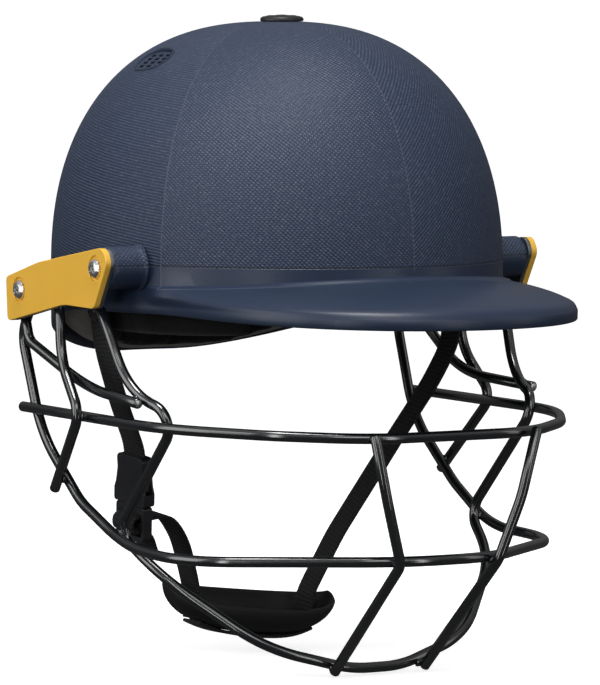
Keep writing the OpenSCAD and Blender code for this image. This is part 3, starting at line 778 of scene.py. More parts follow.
def cloth_finish(name, rgb, scale, spread, bite):
    """Brushed or knitted cloth over foam."""
    tree, shader, place = start_finish(name, Roughness=0.9, Specular_IOR_Level=0.3, Sheen_Weight=0.1)
    tufts = grain(tree, place, scale * 0.35, 5, 0.7)
    base = blended(tree, tufts, shade(rgb, 1 - spread), shade(rgb, 1 + spread))
    drift = grain(tree, place, 30, 3)
    link_finish(tree, shader, Base_Color=tinted(tree, drift, 0.4, base, shade(rgb, 0.7)),
                Roughness=scaled(tree, tufts, 0.15, 0.8),
                Normal=raised(tree, scaled(tree, tufts, 0.8, cells(tree, place, scale)), bite, 0.8))


ZINC = (0.93, 0.95, 0.96)
BRASS = (0.65, 0.47, 0.2)
CUT_STEEL = (0.55, 0.56, 0.57)
BLACK_PLASTIC = (0.012, 0.012, 0.013)
BUCKLE_PLASTIC = (0.016, 0.017, 0.021)


def make_finishes(scene):
    """Makes all finishes, once."""
    colours = scene.helmet_colours
    if "navy_shell" + FINISH not in bpy.data.materials:
        shell_finish(colours, scene.helmet_shell)
        coat_finish(colours)
        plastic_finish("yellow_plate", colours.yellow, 0.40, scale=1400, bite=0.00005, spread=0.05)
        plastic_finish("black_plastic", BLACK_PLASTIC, 0.42)
        plastic_finish("vent_plastic", shade(colours.navy, 0.9)[:3], 0.5)
        plastic_finish("buckle_plastic", BUCKLE_PLASTIC, 0.36, scale=1500, bite=0.00007)
        metal_finish("bracket_steel", colours.steel, 0.45, scale=260, bite=0.00005)
        metal_finish("screw_zinc", ZINC, 0.26, scale=180, bite=0.00003)
        metal_finish("insert_brass", BRASS, 0.35, scale=200, bite=0.00003)
        metal_finish("cut_wire", CUT_STEEL, 0.4, scale=900, bite=0.00008)
        rubber_finish(colours)
        webbing_finish(colours, scene.helmet_strap)
        cloth_finish("grey_lining", colours.lining, scale=900, spread=0.45, bite=0.0003)
        cloth_finish("black_padding", colours.black, scale=1100, spread=0.4, bite=0.00025)


# Shell


# Steps of the outline in each panel
PER_PANEL = 34
# Rows of the crown, and the angles from its top in degrees of the first and the last
CROWN_ROWS = 63
CROWN_DOWNS = (1.5, 89)
# Steps of the flare between two points of its profile
FLARE_STEPS = 6
# The rounded edge: its height away from the peak, how far it is drawn in and how high it is
# rounded; how far its flat foot goes in, as a share of the wall, and how far back under the peak
RIM_ROUND = 0.003
LIP_IN, LIP_ROUND = 0.0009, 0.0012
LIP_FLAT, LIP_BACK = 0.6, 0.0008
LIP_TURNS = (30, 60, 90)
# Panel seams: their first row, and the rows that the two front ones run on past the crown
SEAM_START, SEAM_PAST_CROWN = 4, 30
# Edges of the cut shell are shaded sharp above this angle in degrees
SHELL_SHARP = 50


def outline_angles():
    angles = []
    for a, b in zip(PANEL_EDGES, PANEL_EDGES[1:]):
        angles += [a + (b - a) * k / PER_PANEL for k in range(PER_PANEL)]
    return angles


def lip(shell, angle):
    """Height of the rounded edge."""
    return RIM_ROUND + (shell.peak_lip - RIM_ROUND) * opened(shell, angle)


def flared(shell, angle, shares, inset=0.0, back=0.0, drop=0.0):
    """Point of the flare, by its shares of reach and drop."""
    q = plan(shell, angle, inset)
    q *= 1 + nose(angle, shares[1]) / q.length
    out = reach(shell, angle) * shares[0] - back * opened(shell, angle)
    point = q * (1 + out / q.length)
    top = root(shell, angle)
    point.z = top + (edge_height(shell, angle) - top) * shares[1] - drop
    return point


def shell_rows(shell, angles):
    """Rows of points from the crown, over the peak's edge and up the inside."""
    downs = spaced(*CROWN_DOWNS, CROWN_ROWS)
    rows = [[crown(shell, a, d) for a in angles] for d in downs]
    profile = smooth_through(PEAK_PROFILE, FLARE_STEPS)
    for shares in profile[1:]:
        rows.append([flared(shell, a, shares) for a in angles])
    for t in (math.radians(turn) for turn in LIP_TURNS):
        rows.append([flared(shell, a, (1, 1), LIP_IN * (1 - math.cos(t)),
                            drop=lip(shell, a) - LIP_ROUND * (1 - math.sin(t))) for a in angles])
    wall = shell.wall
    rows.append([flared(shell, a, (1, 1), wall * LIP_FLAT, LIP_BACK, lip(shell, a)) for a in angles])
    for shares in reversed(profile[:-2:2]):
        rows.append([flared(shell, a, shares, wall, drop=opened(shell, a) * wall) for a in angles])
    for d in reversed(downs[::3]):
        rows.append([crown(shell, a, d, wall) for a in angles])
    return rows


def quad(i, j):
    """Row and column of a face's four corners."""
    return (i, j), (i, j + 1), (i + 1, j + 1), (i + 1, j)


def build_shell_mesh(shell):
    angles = outline_angles()
    rows = shell_rows(shell, angles)
    n = len(angles)
    lengths = run_lengths([row[n // 8] for row in rows])

    def corner_uv(i, j):
        panel = j // PER_PANEL
        middle = panel * PER_PANEL + PER_PANEL // 2
        slant = math.radians(PANEL_GRAINS[panel])
        out = []
        for row, column in quad(i, j):
            here = rows[row][column % n].xy
            turn = rows[row][middle].xy.angle_signed(here, 0)
            u, v = -turn * here.length, lengths[row]
            out.append((u * math.sin(slant) + v * math.cos(slant),
                        (u * math.cos(slant) - v * math.sin(slant)) * THREAD_SHARES[panel]))
        return out

    top = shell.crown_base + shell.crown_rise
    tips = (Vector((0, 0, top)), Vector((0, 0, top - shell.wall)))
    piece = grid("helmet_shell", rows, tips=tips, corner_uv=corner_uv)
    seam = piece.data.attributes.new("seam", "FLOAT", "POINT")
    for panel, angle in enumerate(PANEL_EDGES[:-1]):
        past = SEAM_PAST_CROWN if angle in (PANEL_EDGES[1], PANEL_EDGES[-2]) else 0
        for i in range(SEAM_START, CROWN_ROWS + past):
            seam.data[i * n + panel * PER_PANEL].value = 1.0
    return piece


# Bosses that carry the side plates, in millimetres: middle toward the back and up, radius, and the
# distance from the middle plane where each leaves the shell
BOSSES = {"front": ((-33.6, 32.8), 10, 99), "rear": ((38.6, 19.8), 7.5, 98)}
BOSS_FILLET = 0.0018
BOSS_STEPS = 72
# Its rounded end, as rows of distance in from its side and back from its end
BOSS_END = ((0, 0.0008), (0.0003, 0.0002), (0.0009, 0))
# A straight stretch longer than this is laid in several rows
LONG_STRETCH, STRETCH_ROWS = 0.003, 6


def boss_mesh(name, side, centre, radius, start, end):
    """Boss from the shell wall to the bracket, with a fillet where it grows from the wall."""
    profile = []
    for a in spaced(0, math.pi / 2, 7):
        profile.append((radius + BOSS_FILLET * (1 - math.sin(a)), start + BOSS_FILLET * (1 - math.cos(a))))
    profile += [(radius - inward, end - back) for inward, back in BOSS_END]
    fine, along = [profile[0]], [0.0]
    for (r0, h0), (r1, h1) in zip(profile, profile[1:]):
        parts = STRETCH_ROWS if h1 - h0 > LONG_STRETCH else 1
        for share in spaced(0, 1, parts + 1)[1:]:
            fine.append((r0 + (r1 - r0) * share, h0 + (h1 - h0) * share))
            along.append(along[-1] + math.hypot(r1 - r0, h1 - h0) / parts)
    rows = [[Vector((side * h, centre[0] + r * math.cos(a), centre[1] + r * math.sin(a)))
             for a in ring(BOSS_STEPS)] for r, h in fine]

    def corner_uv(i, j):
        places = [(column / BOSS_STEPS * 2 * math.pi * radius, along[row]) for row, column in quad(i, j)]
        return [((u + v) * math.sqrt(0.5), (u - v) * math.sqrt(0.5)) for u, v in places]

    return grid(name, rows, close=True, corner_uv=corner_uv)


class HELMET_OT_shell(bpy.types.Operator):
    """Builds the moulded shell with its peak and the four bosses"""

    bl_idname = "helmet.shell"
    bl_label = "Shell"

    def execute(self, context):
        scene = context.scene
        shell, grille = scene.helmet_shell, scene.helmet_grille
        make_finishes(scene)
        piece = build_shell_mesh(shell)
        for side in HANDS.values():
            cut_with(piece, vent_block("vent_cutter", shell, side))
        shaded(piece, SHELL_SHARP)
        settle(piece, "helmet", "navy_shell", "outer_shell")
        for hand, side in HANDS.items():
            for where, (centre, radius, start) in BOSSES.items():
                boss = boss_mesh(f"boss_{where}_{hand}", side, Vector(centre) * MM, radius * MM,
                                 start * MM, grille.bracket_half_gap)
                settle(boss, "helmet", "navy_shell")
        return {"FINISHED"}


# Button and vents


# A vent's middle, in shares of the shell's half width, rear length and crown rise, and its tilts
# in degrees outward and back
VENT_AT = (0.615, 0.058, 0.848)
VENT_TILTS = (36, -1.5)
# Exponent of its oval, and how far the insert stands out from where the solid has it
VENT_EXP = 0.8
VENT_PROUD = 0.0007
# Width and length of the hole cut for it and of the ring round it, the cutter's depth and the
# ring's radius
VENT_HOLE, VENT_DEPTH = (0.0151, 0.0251), 0.02
VENT_RING, VENT_RING_RADIUS = (0.0166, 0.0266), 0.0006
# How far below and above a point its place on the crown is searched, and in how many halvings
SEARCH_LOW, SEARCH_HIGH, HALVINGS = -0.008, 0.004, 30
# Profile of the button as radius and height, how deep it is sunk, and how far toward the front
BUTTON_PROFILE = ((0.0001, 0.0006), (0.0100, 0.0006), (0.0104, 0.0009), (0.0105, 0.0016), (0.0103, 0.0022),
                  (0.0098, 0.0027), (0.0090, 0.0030), (0.0070, 0.0034), (0.0062, 0.0036), (0.0058, 0.0036),
                  (0.0054, 0.0034), (0.0040, 0.0035), (0.0020, 0.0038), (0.0001, 0.0039))
BUTTON_SUNK = 0.0007
BUTTON_FORWARD = 0.004


def vent_frame(shell, side):
    """Frame square to the shell at the middle of a vent."""
    wide, long, high = VENT_AT
    tilt, lean = (math.radians(a) for a in VENT_TILTS)
    place = Vector((side * wide * shell.half_width, long * shell.rear,
                    shell.crown_base + high * shell.crown_rise))
    turn = Matrix.Rotation(side * tilt, 4, "Y") @ Matrix.Rotation(lean, 4, "X")
    return Matrix.Translation(place) @ turn


def vent_oval(size, steps):
    """Points round an oval of a width and a length."""
    return [(size[0] / 2 * spow(math.cos(a), VENT_EXP), size[1] / 2 * spow(math.sin(a), VENT_EXP))
            for a in ring(steps)]


def vent_block(name, shell, side):
    """Oval block square to the shell, that cuts a vent's hole."""
    square = vent_frame(shell, side)
    rows = [[square @ Vector((x, y, z)) for x, y in vent_oval(VENT_HOLE, 64)]
            for z in (-VENT_DEPTH / 2, VENT_DEPTH / 2)]
    return grid(name, rows, close=True)


def on_shell(shell, point, along):
    """Where a line through a point, in a direction, meets the outer crown."""
    low, high = SEARCH_LOW, SEARCH_HIGH
    for _ in range(HALVINGS):
        middle = (low + high) / 2
        p = point + along * middle
        long = shell.front if p.y < 0 else shell.rear
        across = (abs(p.x) / shell.half_width) ** PLAN_EXP + (abs(p.y) / long) ** PLAN_EXP
        rise = max(0, (p.z - shell.crown_base) / shell.crown_rise)
        if across ** (CROWN_SIDE_EXP / PLAN_EXP) + rise ** CROWN_EXP < 1:
            low = middle
        else:
            high = middle
    return point + along * low


class HELMET_OT_trim(bpy.types.Operator):
    """Builds the crown button and dresses the vent inserts"""

    bl_idname = "helmet.trim"
    bl_label = "Button and vents"

    def execute(self, context):
        shell = context.scene.helmet_shell
        make_finishes(context.scene)
        seat = shell.crown_base + shell.crown_rise - BUTTON_SUNK
        button = turned("crown_button_cap", [(r, seat + h) for r, h in BUTTON_PROFILE],
                        Vector((0, -BUTTON_FORWARD, 0)))
        settle(button, "helmet", "black_plastic", "crown_button")
        for hand, side in HANDS.items():
            square = vent_frame(shell, side)
            out = square.to_3x3() @ Vector((0, 0, 1))
            vent = bevelled_copy(f"vent_grid_{hand}", f"vent_insert_{hand}", 0.0003, 2)
            seat_at = on_shell(shell, square.translation, out) + out * VENT_PROUD
            vent.data.transform(Matrix.Translation(seat_at - square.translation))
            settle(vent, "helmet", "vent_plastic", f"vent_insert_{hand}")
            path = [on_shell(shell, square @ Vector((x, y, 0)), out) for x, y in vent_oval(VENT_RING, 72)]
            rim = rod(f"vent_rim_{hand}", path + path[:1], VENT_RING_RADIUS, 10, 0)
            settle(rim, "helmet", "vent_plastic", finish=["navy_shell"])
        return {"FINISHED"}


# Lining


# Shares of the solids that the liner and the pads fill
LINER_FILL, PAD_FILL = 0.9, 0.7
# Gap between the shell and the liner
LINER_GAP = 0.0014
# Level of the liner's edge over the brow, its drop below the shell's edge line at the sides, and
# the outline angles between which it goes from the one to the other
LINER_FRONT = 0.020
LINER_RIM_GAP = 0.0008
LINER_FALL = (101, 125)
# Rounded edge of the liner: distance in from its outer or its inner face, and height, in millimetres
LINER_EDGE_OUTER = ((0, 4), (1.5, 2.2), (5, 0))
LINER_EDGE_INNER = ((5, -0.4), (1.5, 0.8), (0.2, 3), (0, 5))
# Pads on the liner: node, outline angles of both ends, how much nearer the shell and how much
# thicker than the others, and the levels of foot and top, all in metres
PADS = {"brow_pad": ("comfort_band", (-38, 38), 0, 0, (0.006, 0.030)),
        "nape_pad": ("rear_pad", (138, 222), 0, 0, (-0.0145, 0.018)),
        "ear_pad_left": ("side_pad_left", (44, 100), 0.006, 0.003, (0, 0.0206)),
        "ear_pad_right": ("side_pad_right", (-44, -100), 0.006, 0.003, (0, 0.0206))}
PAD_GAP = 0.0003
PAD_STEPS, PAD_AROUND = 56, 28
# Exponents of a pad's section, its thickness at the ends, its puffs and how deep they go
PAD_DEPTH_EXP, PAD_HEIGHT_EXP = 0.55, 0.5
PAD_END, PAD_END_EXP, PAD_END_HEIGHT = 0.35, 0.3, 0.7
PAD_PUFFS, PAD_PUFF_DEPTH = 5, 0.06
# Behind the ears a pad's foot stays this far inside the shell's edge line
PAD_REAR, PAD_RIM_GAP = 110, 0.0012
# The filling of a pad: even mesh size, pressure, length in frames, and how far a point may move
FILL_MESH, FILL_PRESSURE, FILL_FRAMES, FILL_MOST = 0.003, 4, 20, 0.0012
# Sewn channels across a pad: places along it, and their depth and width
CHANNELS = (0.25, 0.5, 0.75)
CHANNEL_SIZE = 0.0016
# Crown cushion: radius, thickness, distance from the liner, least thickness, and its rings,
# points round it, seams and how deep they are pressed in
CUSHION_RADIUS, CUSHION_THICK, CUSHION_GAP, CUSHION_LEAST = 0.038, 0.0085, 0.0010, 0.001
CUSHION_RINGS, CUSHION_STEPS, CUSHION_SEAMS, CUSHION_SEAM_DEPTH = 10, 72, 6, 0.35


def liner_edge(shell, angle, inset, up):
    q = plan(shell, angle, inset)
    side = eased(from_front(angle), *LINER_FALL)
    q.z = LINER_FRONT + (edge_height(shell, angle) - LINER_RIM_GAP - LINER_FRONT) * side + up
    return q


def build_liner(shell, outer, inner):
    """Foam liner between two insets from the shell's outer face, with a rounded edge."""
    angles = [360 * k / 120 for k in range(120)]
    downs = spaced(4, 89, 21)
    rows = [[crown(shell, a, d, outer) for a in angles] for d in downs]
    edge = [(outer + away * MM, up) for away, up in LINER_EDGE_OUTER]
    edge += [(inner - away * MM, up) for away, up in LINER_EDGE_INNER]
    rows += [[liner_edge(shell, a, inset, up * MM) for a in angles] for inset, up in edge]
    rows += [[crown(shell, a, d, inner) for a in angles] for d in reversed(downs)]
    top = shell.crown_base + shell.crown_rise
    return grid("foam_liner", rows, tips=(Vector((0, 0, top - outer)), Vector((0, 0, top - inner))))


def wall_pad(shell, name, ends, inset, thick, levels):
    """Rounded pad along the inside wall between two outline angles."""
    rows = []
    low, high = levels
    for share in spaced(0, 1, PAD_STEPS + 1):
        angle = ends[0] + (ends[1] - ends[0]) * share
        taper = PAD_END + (1 - PAD_END) * max(0, math.sin(math.pi * share)) ** PAD_END_EXP
        puff = PAD_PUFF_DEPTH * abs(math.sin(share * math.pi * PAD_PUFFS)) ** 0.5
        base = max(low, edge_height(shell, angle) - PAD_RIM_GAP) if angle > PAD_REAR else low
        middle = (base + high) / 2
        row = []
        for a in ring(PAD_AROUND):
            x = 0.5 - 0.5 * spow(math.cos(a), PAD_DEPTH_EXP)
            y = 0.5 + 0.5 * spow(math.sin(a), PAD_HEIGHT_EXP)
            q = plan(shell, angle, inset + thick * x * taper * (1 - puff * (x > 0.5)))
            squeeze = PAD_END_HEIGHT + (1 - PAD_END_HEIGHT) * taper
            q.z = middle + (base + (high - base) * y - middle) * squeeze
            row.append(q)
        rows.append(row)
    return grid(name, rows, close=True)


def plumped(piece):
    """Fills a pad by a short cloth simulation, in which no point moves further than the limit."""
    modified(piece, "Even mesh", "REMESH", mode="VOXEL", voxel_size=FILL_MESH)
    start = [v.co.copy() for v in piece.data.vertices]
    cloth = piece.modifiers.new("Filling", "CLOTH")
    cloth.settings.use_pressure = True
    cloth.settings.uniform_pressure_force = FILL_PRESSURE
    cloth.settings.effector_weights.gravity = 0
    scene = bpy.context.scene
    for moment in range(1, FILL_FRAMES + 1):
        scene.frame_set(moment)
    apply_modifiers(piece)
    for vertex, was in zip(piece.data.vertices, start):
        moved = vertex.co - was
        if moved.length > FILL_MOST:
            vertex.co = was + moved.normalized() * FILL_MOST
    scene.frame_set(1)
    modified(piece, "Finer", "SUBSURF", levels=1)
    piece.data.shade_smooth()


def press_channels(piece, angles):
    """Presses sewn channels across the inner face of a pad, at outline angles."""
    facing = [v.normal.copy() for v in piece.data.vertices]
    for vertex, normal in zip(piece.data.vertices, facing):
        out = Vector((vertex.co.x, vertex.co.y, 0))
        if normal.dot(out) > 0:
            continue
        here = math.degrees(math.atan2(out.x, -out.y)) % 360
        for angle in angles:
            away = math.radians((here - angle + 180) % 360 - 180) * out.length
            vertex.co += out.normalized() * CHANNEL_SIZE * math.exp(-(away / CHANNEL_SIZE) ** 2)


def build_cushion(shell, inset):
    """Round quilted pad under the crown, pressed in along its seams."""
    def ceiling(r):
        share = min(0.999, r / (shell.half_width - inset))
        rise = (1 - share ** CROWN_SIDE_EXP) ** (1 / CROWN_EXP)
        return shell.crown_base + (shell.crown_rise - inset) * rise - CUSHION_GAP

    def circle(r, thick_at):
        top = ceiling(r)
        return [Vector((r * math.cos(a), r * math.sin(a), top - thick_at(a))) for a in ring(CUSHION_STEPS)]

    def quilted(r):
        swell = CUSHION_THICK * (1 - (r / CUSHION_RADIUS) ** 6) ** 0.5

        def thick_at(a):
            seam = abs(math.cos(CUSHION_SEAMS / 2 * a)) ** 8 * CUSHION_SEAM_DEPTH
            return max(swell * (1 - seam), CUSHION_LEAST)

        return thick_at

    radii = [CUSHION_RADIUS * k / CUSHION_RINGS for k in range(1, CUSHION_RINGS + 1)]
    rows = [circle(r, lambda a: 0) for r in radii] + [circle(r, quilted(r)) for r in reversed(radii)]
    tips = (Vector((0, 0, ceiling(0))), Vector((0, 0, ceiling(0) - CUSHION_THICK)))
    return grid("crown_cushion", rows, tips=tips)


class HELMET_OT_lining(bpy.types.Operator):
    """Builds the cloth-faced liner, the crown pad and the pads at brow, ears and nape"""

    bl_idname = "helmet.lining"
    bl_label = "Lining"

    def execute(self, context):
        scene = context.scene
        shell, lining = scene.helmet_shell, scene.helmet_lining
        make_finishes(scene)
        outer = shell.wall + LINER_GAP
        inner = outer + lining.liner
        liner = build_liner(shell, outer, inner)
        settle(liner, "helmet", "grey_lining", "impact_liner", pad=LINER_FILL)
        for name, (node, ends, nearer, thicker, levels) in PADS.items():
            pad = wall_pad(shell, name, ends, inner + PAD_GAP - nearer, lining.pad + thicker, levels)
            plumped(pad)
            press_channels(pad, [ends[0] + (ends[1] - ends[0]) * share for share in CHANNELS])
            settle(pad, "helmet", "black_padding", node, pad=PAD_FILL)
        settle(build_cushion(shell, inner), "helmet", "black_padding", "crown_pad", pad=PAD_FILL)
        return {"FINISHED"}


# Side plates


class HELMET_OT_side_plates(bpy.types.Operator):
    """Dresses the side plates, wire brackets and screws"""

    bl_idname = "helmet.side_plates"
    bl_label = "Side plates"

    def execute(self, context):
        make_finishes(context.scene)
        for hand in HANDS:
            plate = bevelled_copy(f"plate_{hand}", f"side_plate_{hand}", 0.0006, 3)
            settle(plate, "helmet", "yellow_plate", f"side_plate_{hand}")
            bracket = bevelled_copy(f"bracket_{hand}", f"grille_bracket_{hand}", 0.0004, 2)
            settle(bracket, "helmet", "bracket_steel", f"grille_bracket_{hand}")
        screws = bevelled_copy("plate_screw_heads", "plate_screws", 0.0002, 2)
        settle(screws, "helmet", "screw_zinc", "plate_screws")
        return {"FINISHED"}


# Grille


# Corners of each wire's right half in millimetres, front to back, and the bend radius at each
UPPER_RING = (((44, -153.4, -42.6), (80.9, -124.2, -41.3), (111.5, -77.2, -39.9), (111.8, 52.8, -37.2)),
              (60, 60, 90, 0))
LOWER_RING = (((24.9, -149.6, -100.3), (105, -83.5, -101.4), (103, -30.9, -98.6), (106.2, 6, -80.1),
               (106.6, 43, -49.9), (107.6, 60, -3), (108.9, 49.9, 10)), (60, 50, 80, 50, 60, 30, 0))
CHIN_BAR = (((14, -88.4, -156.2), (56, -79.6, -145.1), (92.5, -46.6, -112.6), (99.65, -18.2, -92.8),
             (100.9, -75.5, -34.9), (108.4, -43.8, -25.4), (113.9, -25.4, 14)), (60, 60, 90, 9, 16, 50, 0))
SIDE_BAR = (((113.9, 13.2, 18.1), (113.9, 10.7, -13.3), (117.05, -11.5, -36.9), (110.2, 24.5, -75.7)),
            (0, 30, 9, 0))
CHEEK_BAR = (((113.9, 46.9, 10), (113.9, 41.9, -4.9), (106.4, -0.2, -25.3), (111.25, -56.8, -29.5)),
             (0, 9, 90, 0))
FRONT_BAR = (((45, -157, -40), (37, -155.6, -72.1), (27, -151.2, -101.6), (25.2, -90.7, -157.5)),
             (0, 80, 9, 0))


# Steps of each bend, and the spacing of the points by which the meetings of wires are found
BEND_STEPS, MEET_STEP = 14, 0.0015
# Wires nearer than this are welded, at places at least this far apart
WELD_GAP, WELD_APART = 0.0012, 0.012
# A bead's shares of width and height, and the ripple of its face
BEAD_WIDE, BEAD_HIGH = 1.15, 0.75
RIPPLE, RIPPLE_X, RIPPLE_Y, RIPPLE_START = 0.09, 2600, 2100, 1.3


def both_sides(half):
    points, radii = half
    return mirrored(reversed(points)) + list(points), tuple(reversed(radii)) + tuple(radii)


def one_side(half, side):
    points, radii = half
    return [Vector(p) if side > 0 else mirrored([p])[0] for p in points], radii


def meetings(path_a, path_b, nearness):
    """Middles of the places where two wires pass within touching distance, and the way across."""
    found = []
    for a in path_a:
        b = min(path_b, key=lambda p: (p - a).length_squared)
        if (a - b).length < nearness:
            found.append(((a - b).length, (a + b) / 2, (a - b).normalized()))
    spots = []
    for _, middle, across in sorted(found, key=lambda f: f[0]):
        if all((middle - other).length > WELD_APART for other, _ in spots):
            spots.append((middle, across))
    return spots


def weld_bead(name, middle, across, radius):
    """Small uneven bead of weld metal between two wires."""
    bm = bmesh.new()
    bmesh.ops.create_icosphere(bm, subdivisions=3, radius=radius)
    turn = across.to_track_quat("Z", "Y")
    for v in bm.verts:
        ripple = 1 + RIPPLE * math.sin(v.co.x * RIPPLE_X + RIPPLE_START) * math.cos(v.co.y * RIPPLE_Y)
        shape = Vector((v.co.x * BEAD_WIDE, v.co.y * BEAD_WIDE, v.co.z * BEAD_HIGH)) * ripple
        v.co = turn @ shape + middle
    return from_bmesh(name, bm)


def joined(name, pieces):
    """One mesh from several loose ones."""
    bm = bmesh.new()
    for piece in pieces:
        bm.from_mesh(piece.data)
        bpy.data.objects.remove(piece)
    return from_bmesh(name, bm)


def all_wires():
    """Corners and bend radii of the nine wires by their nodes."""
    wires = {"upper_ring": both_sides(UPPER_RING), "lower_ring": both_sides(LOWER_RING),
             "chin_bar": both_sides(CHIN_BAR)}
    for hand, side in HANDS.items():
        wires[f"side_bar_{hand}"] = one_side(SIDE_BAR, side)
        wires[f"cheek_bar_{hand}"] = one_side(CHEEK_BAR, side)
        wires[f"front_bar_{hand}"] = one_side(FRONT_BAR, side)
    return wires


def all_beads(paths, nearness, size):
    """Beads at every meeting of two wires, as one piece."""
    names = sorted(paths)
    pieces = []
    for i, a in enumerate(names):
        for b in names[i + 1:]:
            for middle, across in meetings(paths[a], paths[b], nearness):
                pieces.append(weld_bead(f"bead_{len(pieces)}", middle, across, size))
    return joined("grille_welds", pieces)


class HELMET_OT_grille(bpy.types.Operator):
    """Bends the nine wires of the grille and welds them"""

    bl_idname = "helmet.grille"
    bl_label = "Grille"

    def execute(self, context):
        grille = context.scene.helmet_grille
        make_finishes(context.scene)
        paths = {}
        for node, (points, radii) in all_wires().items():
            path = bent(points, radii, BEND_STEPS)
            paths[node] = resampled(path, MEET_STEP)
            wire = rod(f"wire_{node}", path, grille.wire / 2)
            settle(wire, "helmet", "coated_wire", node, finish=["wire_coat", "cut_wire"])
            if node.startswith("cheek"):
                # The sawn end is the many-sided face furthest forward
                end = max(wire.data.polygons, key=lambda f: len(f.vertices) * 10 - f.center.y)
                end.material_index = 1
        beads = all_beads(paths, grille.wire + WELD_GAP, grille.weld)
        settle(beads, "helmet", "coated_wire", finish=["wire_coat"])
        return {"FINISHED"}


# Chin strap


# Millimetres: the strap's anchors, the buckle's frame and the chin cup
ANCHOR = (98.2, 3, 12)
BUCKLE_AT = Vector((-71, 16, -83))
BUCKLE_TURN = (9, -6, 8)
CUP_Y = 26
CUP_LOW = -150.5
CUP_TILT = math.tan(math.radians(6.5))
CUP_HALF_W = 18
CUP_FRONT_H, CUP_BACK_H, CUP_END_H = 12, 19.5, 23
CUP_BOW = 0.1
# Exponents of the cup: how its wall swells and climbs, how its rim goes from the ends to the
# sides, and how pointed its left end is beside the rest of its plan
CUP_SWELL, CUP_CLIMB, CUP_SIDES, CUP_POINT, CUP_ROUND = 0.8, 0.9, 0.6, 1.0, 0.75
# Degrees up the wall where the floor's middle closes, and height of the rounded rim in metres
CUP_START, CUP_LIP = 4, 0.0007
# Steps round the cup, up its wall and over its rim, and the angle above which it is shaded sharp
CUP_TURNS, CUP_RISES, CUP_LIP_STEPS, CUP_SHARP = 96, 27, 6, 45
# The strap slots: shares of the cup's half length, and in millimetres how much wider than the
# webbing, their half length, and half the cutter's depth
NEAR_SLOT, FAR_SLOT = -0.7, 0.66
SLOT_PLAY, SLOT_HALF, SLOT_CUT = 2.5, 3, 7.8
# Where the webbing goes into a slot: a corner above it and its end
SLOT_ABOVE, SLOT_IN = 14, 0.3
# The tongue's bar: its level and the level of the tail below it, and the tail's turn beyond it
BAR_LEVEL, TAIL_LEVEL, TAIL_OUT = -6.2, -13, 6.8
# Gap between two layers of webbing, and the stretch beneath the cup: past the slots and below
LAYER_GAP, UNDER_PAST, UNDER_LOW = 0.3, 0.3, 1.25
# Steps of each bend in the webbing, and the way toward the rear
STRAP_BEND_STEPS = 10
REARWARD = Vector((0, 1, 0))


def buckle_frame():
    x, y, z = (math.radians(a) for a in BUCKLE_TURN)
    return (Matrix.Translation(BUCKLE_AT * MM) @ Matrix.Rotation(z, 4, "Z")
            @ Matrix.Rotation(y, 4, "Y") @ Matrix.Rotation(x, 4, "X"))


def on_buckle(x, z):
    """Point in millimetres from a place on the buckle's middle plane."""
    return tuple((buckle_frame() @ (Vector((x, 0, z)) * MM)) / MM)


def cup_rise(p):
    """Share of the rim's height that the wall has at a climb of p."""
    return 1 - math.cos(p) ** CUP_CLIMB


def cup_bow(p, toward_left):
    """Share of its length that the wall keeps at a climb of p, leaning out to a point on the left."""
    return 1 - CUP_BOW * math.sin(2 * p) * max(0, toward_left)


def cup_floor(strap, u):
    """Height of the cup's outer floor along its middle line."""
    share = min(1, abs(u) / (strap.cup_half / MM))
    climb = math.asin(share ** (1 / CUP_SWELL))
    for _ in range(4):
        climb = math.asin(min(1, share / cup_bow(climb, math.copysign(1, u))) ** (1 / CUP_SWELL))
    return CUP_LOW + CUP_END_H * cup_rise(climb) - u * CUP_TILT


def slot_mouth(strap, share, up):
    u = share * strap.cup_half / MM
    return (u, CUP_Y, cup_floor(strap, u) + up)


def into_slot(strap, share):
    """Last two corners of webbing that goes down into a slot of the cup."""
    return slot_mouth(strap, share, SLOT_ABOVE), slot_mouth(strap, share, SLOT_IN)


def strap_routes(strap):
    """Corners, bend radii, and first and last width directions of each stretch of webbing."""
    across = buckle_frame().to_3x3() @ REARWARD
    x, y, z = ANCHOR
    half_gap = (strap.web_thickness / MM + LAYER_GAP) / 2
    over, under = BAR_LEVEL - half_gap, BAR_LEVEL + half_gap
    return {
        "strap_right": (((-x, y, z + 3), (-x, -1, -6), (-88, 2, -32), on_buckle(0, 27), on_buckle(0, 21)),
                        (0, 50, 60, 16, 0), REARWARD, across),
        "strap_left": (((x, y, z + 3), (x, -7, -6), (86, -3, -30), (66, 2, -60), (44, 17, -103),
                        *into_slot(strap, FAR_SLOT)),
                       (0, 50, 60, 60, 50, 16, 0), REARWARD, REARWARD),
        "strap_right_lower": ((on_buckle(-1, over), on_buckle(18, over), (-43, 20, -102),
                               *into_slot(strap, NEAR_SLOT)),
                              (0, 9, 30, 16, 0), across, REARWARD),
        "strap_tail": ((on_buckle(1.6, under), on_buckle(-TAIL_OUT, under),
                        on_buckle(-TAIL_OUT, TAIL_LEVEL), on_buckle(4.6, TAIL_LEVEL),
                        on_buckle(9.5, TAIL_LEVEL - 13)),
                       (0, 3.2, 3.2, 9, 0), across, across),
    }


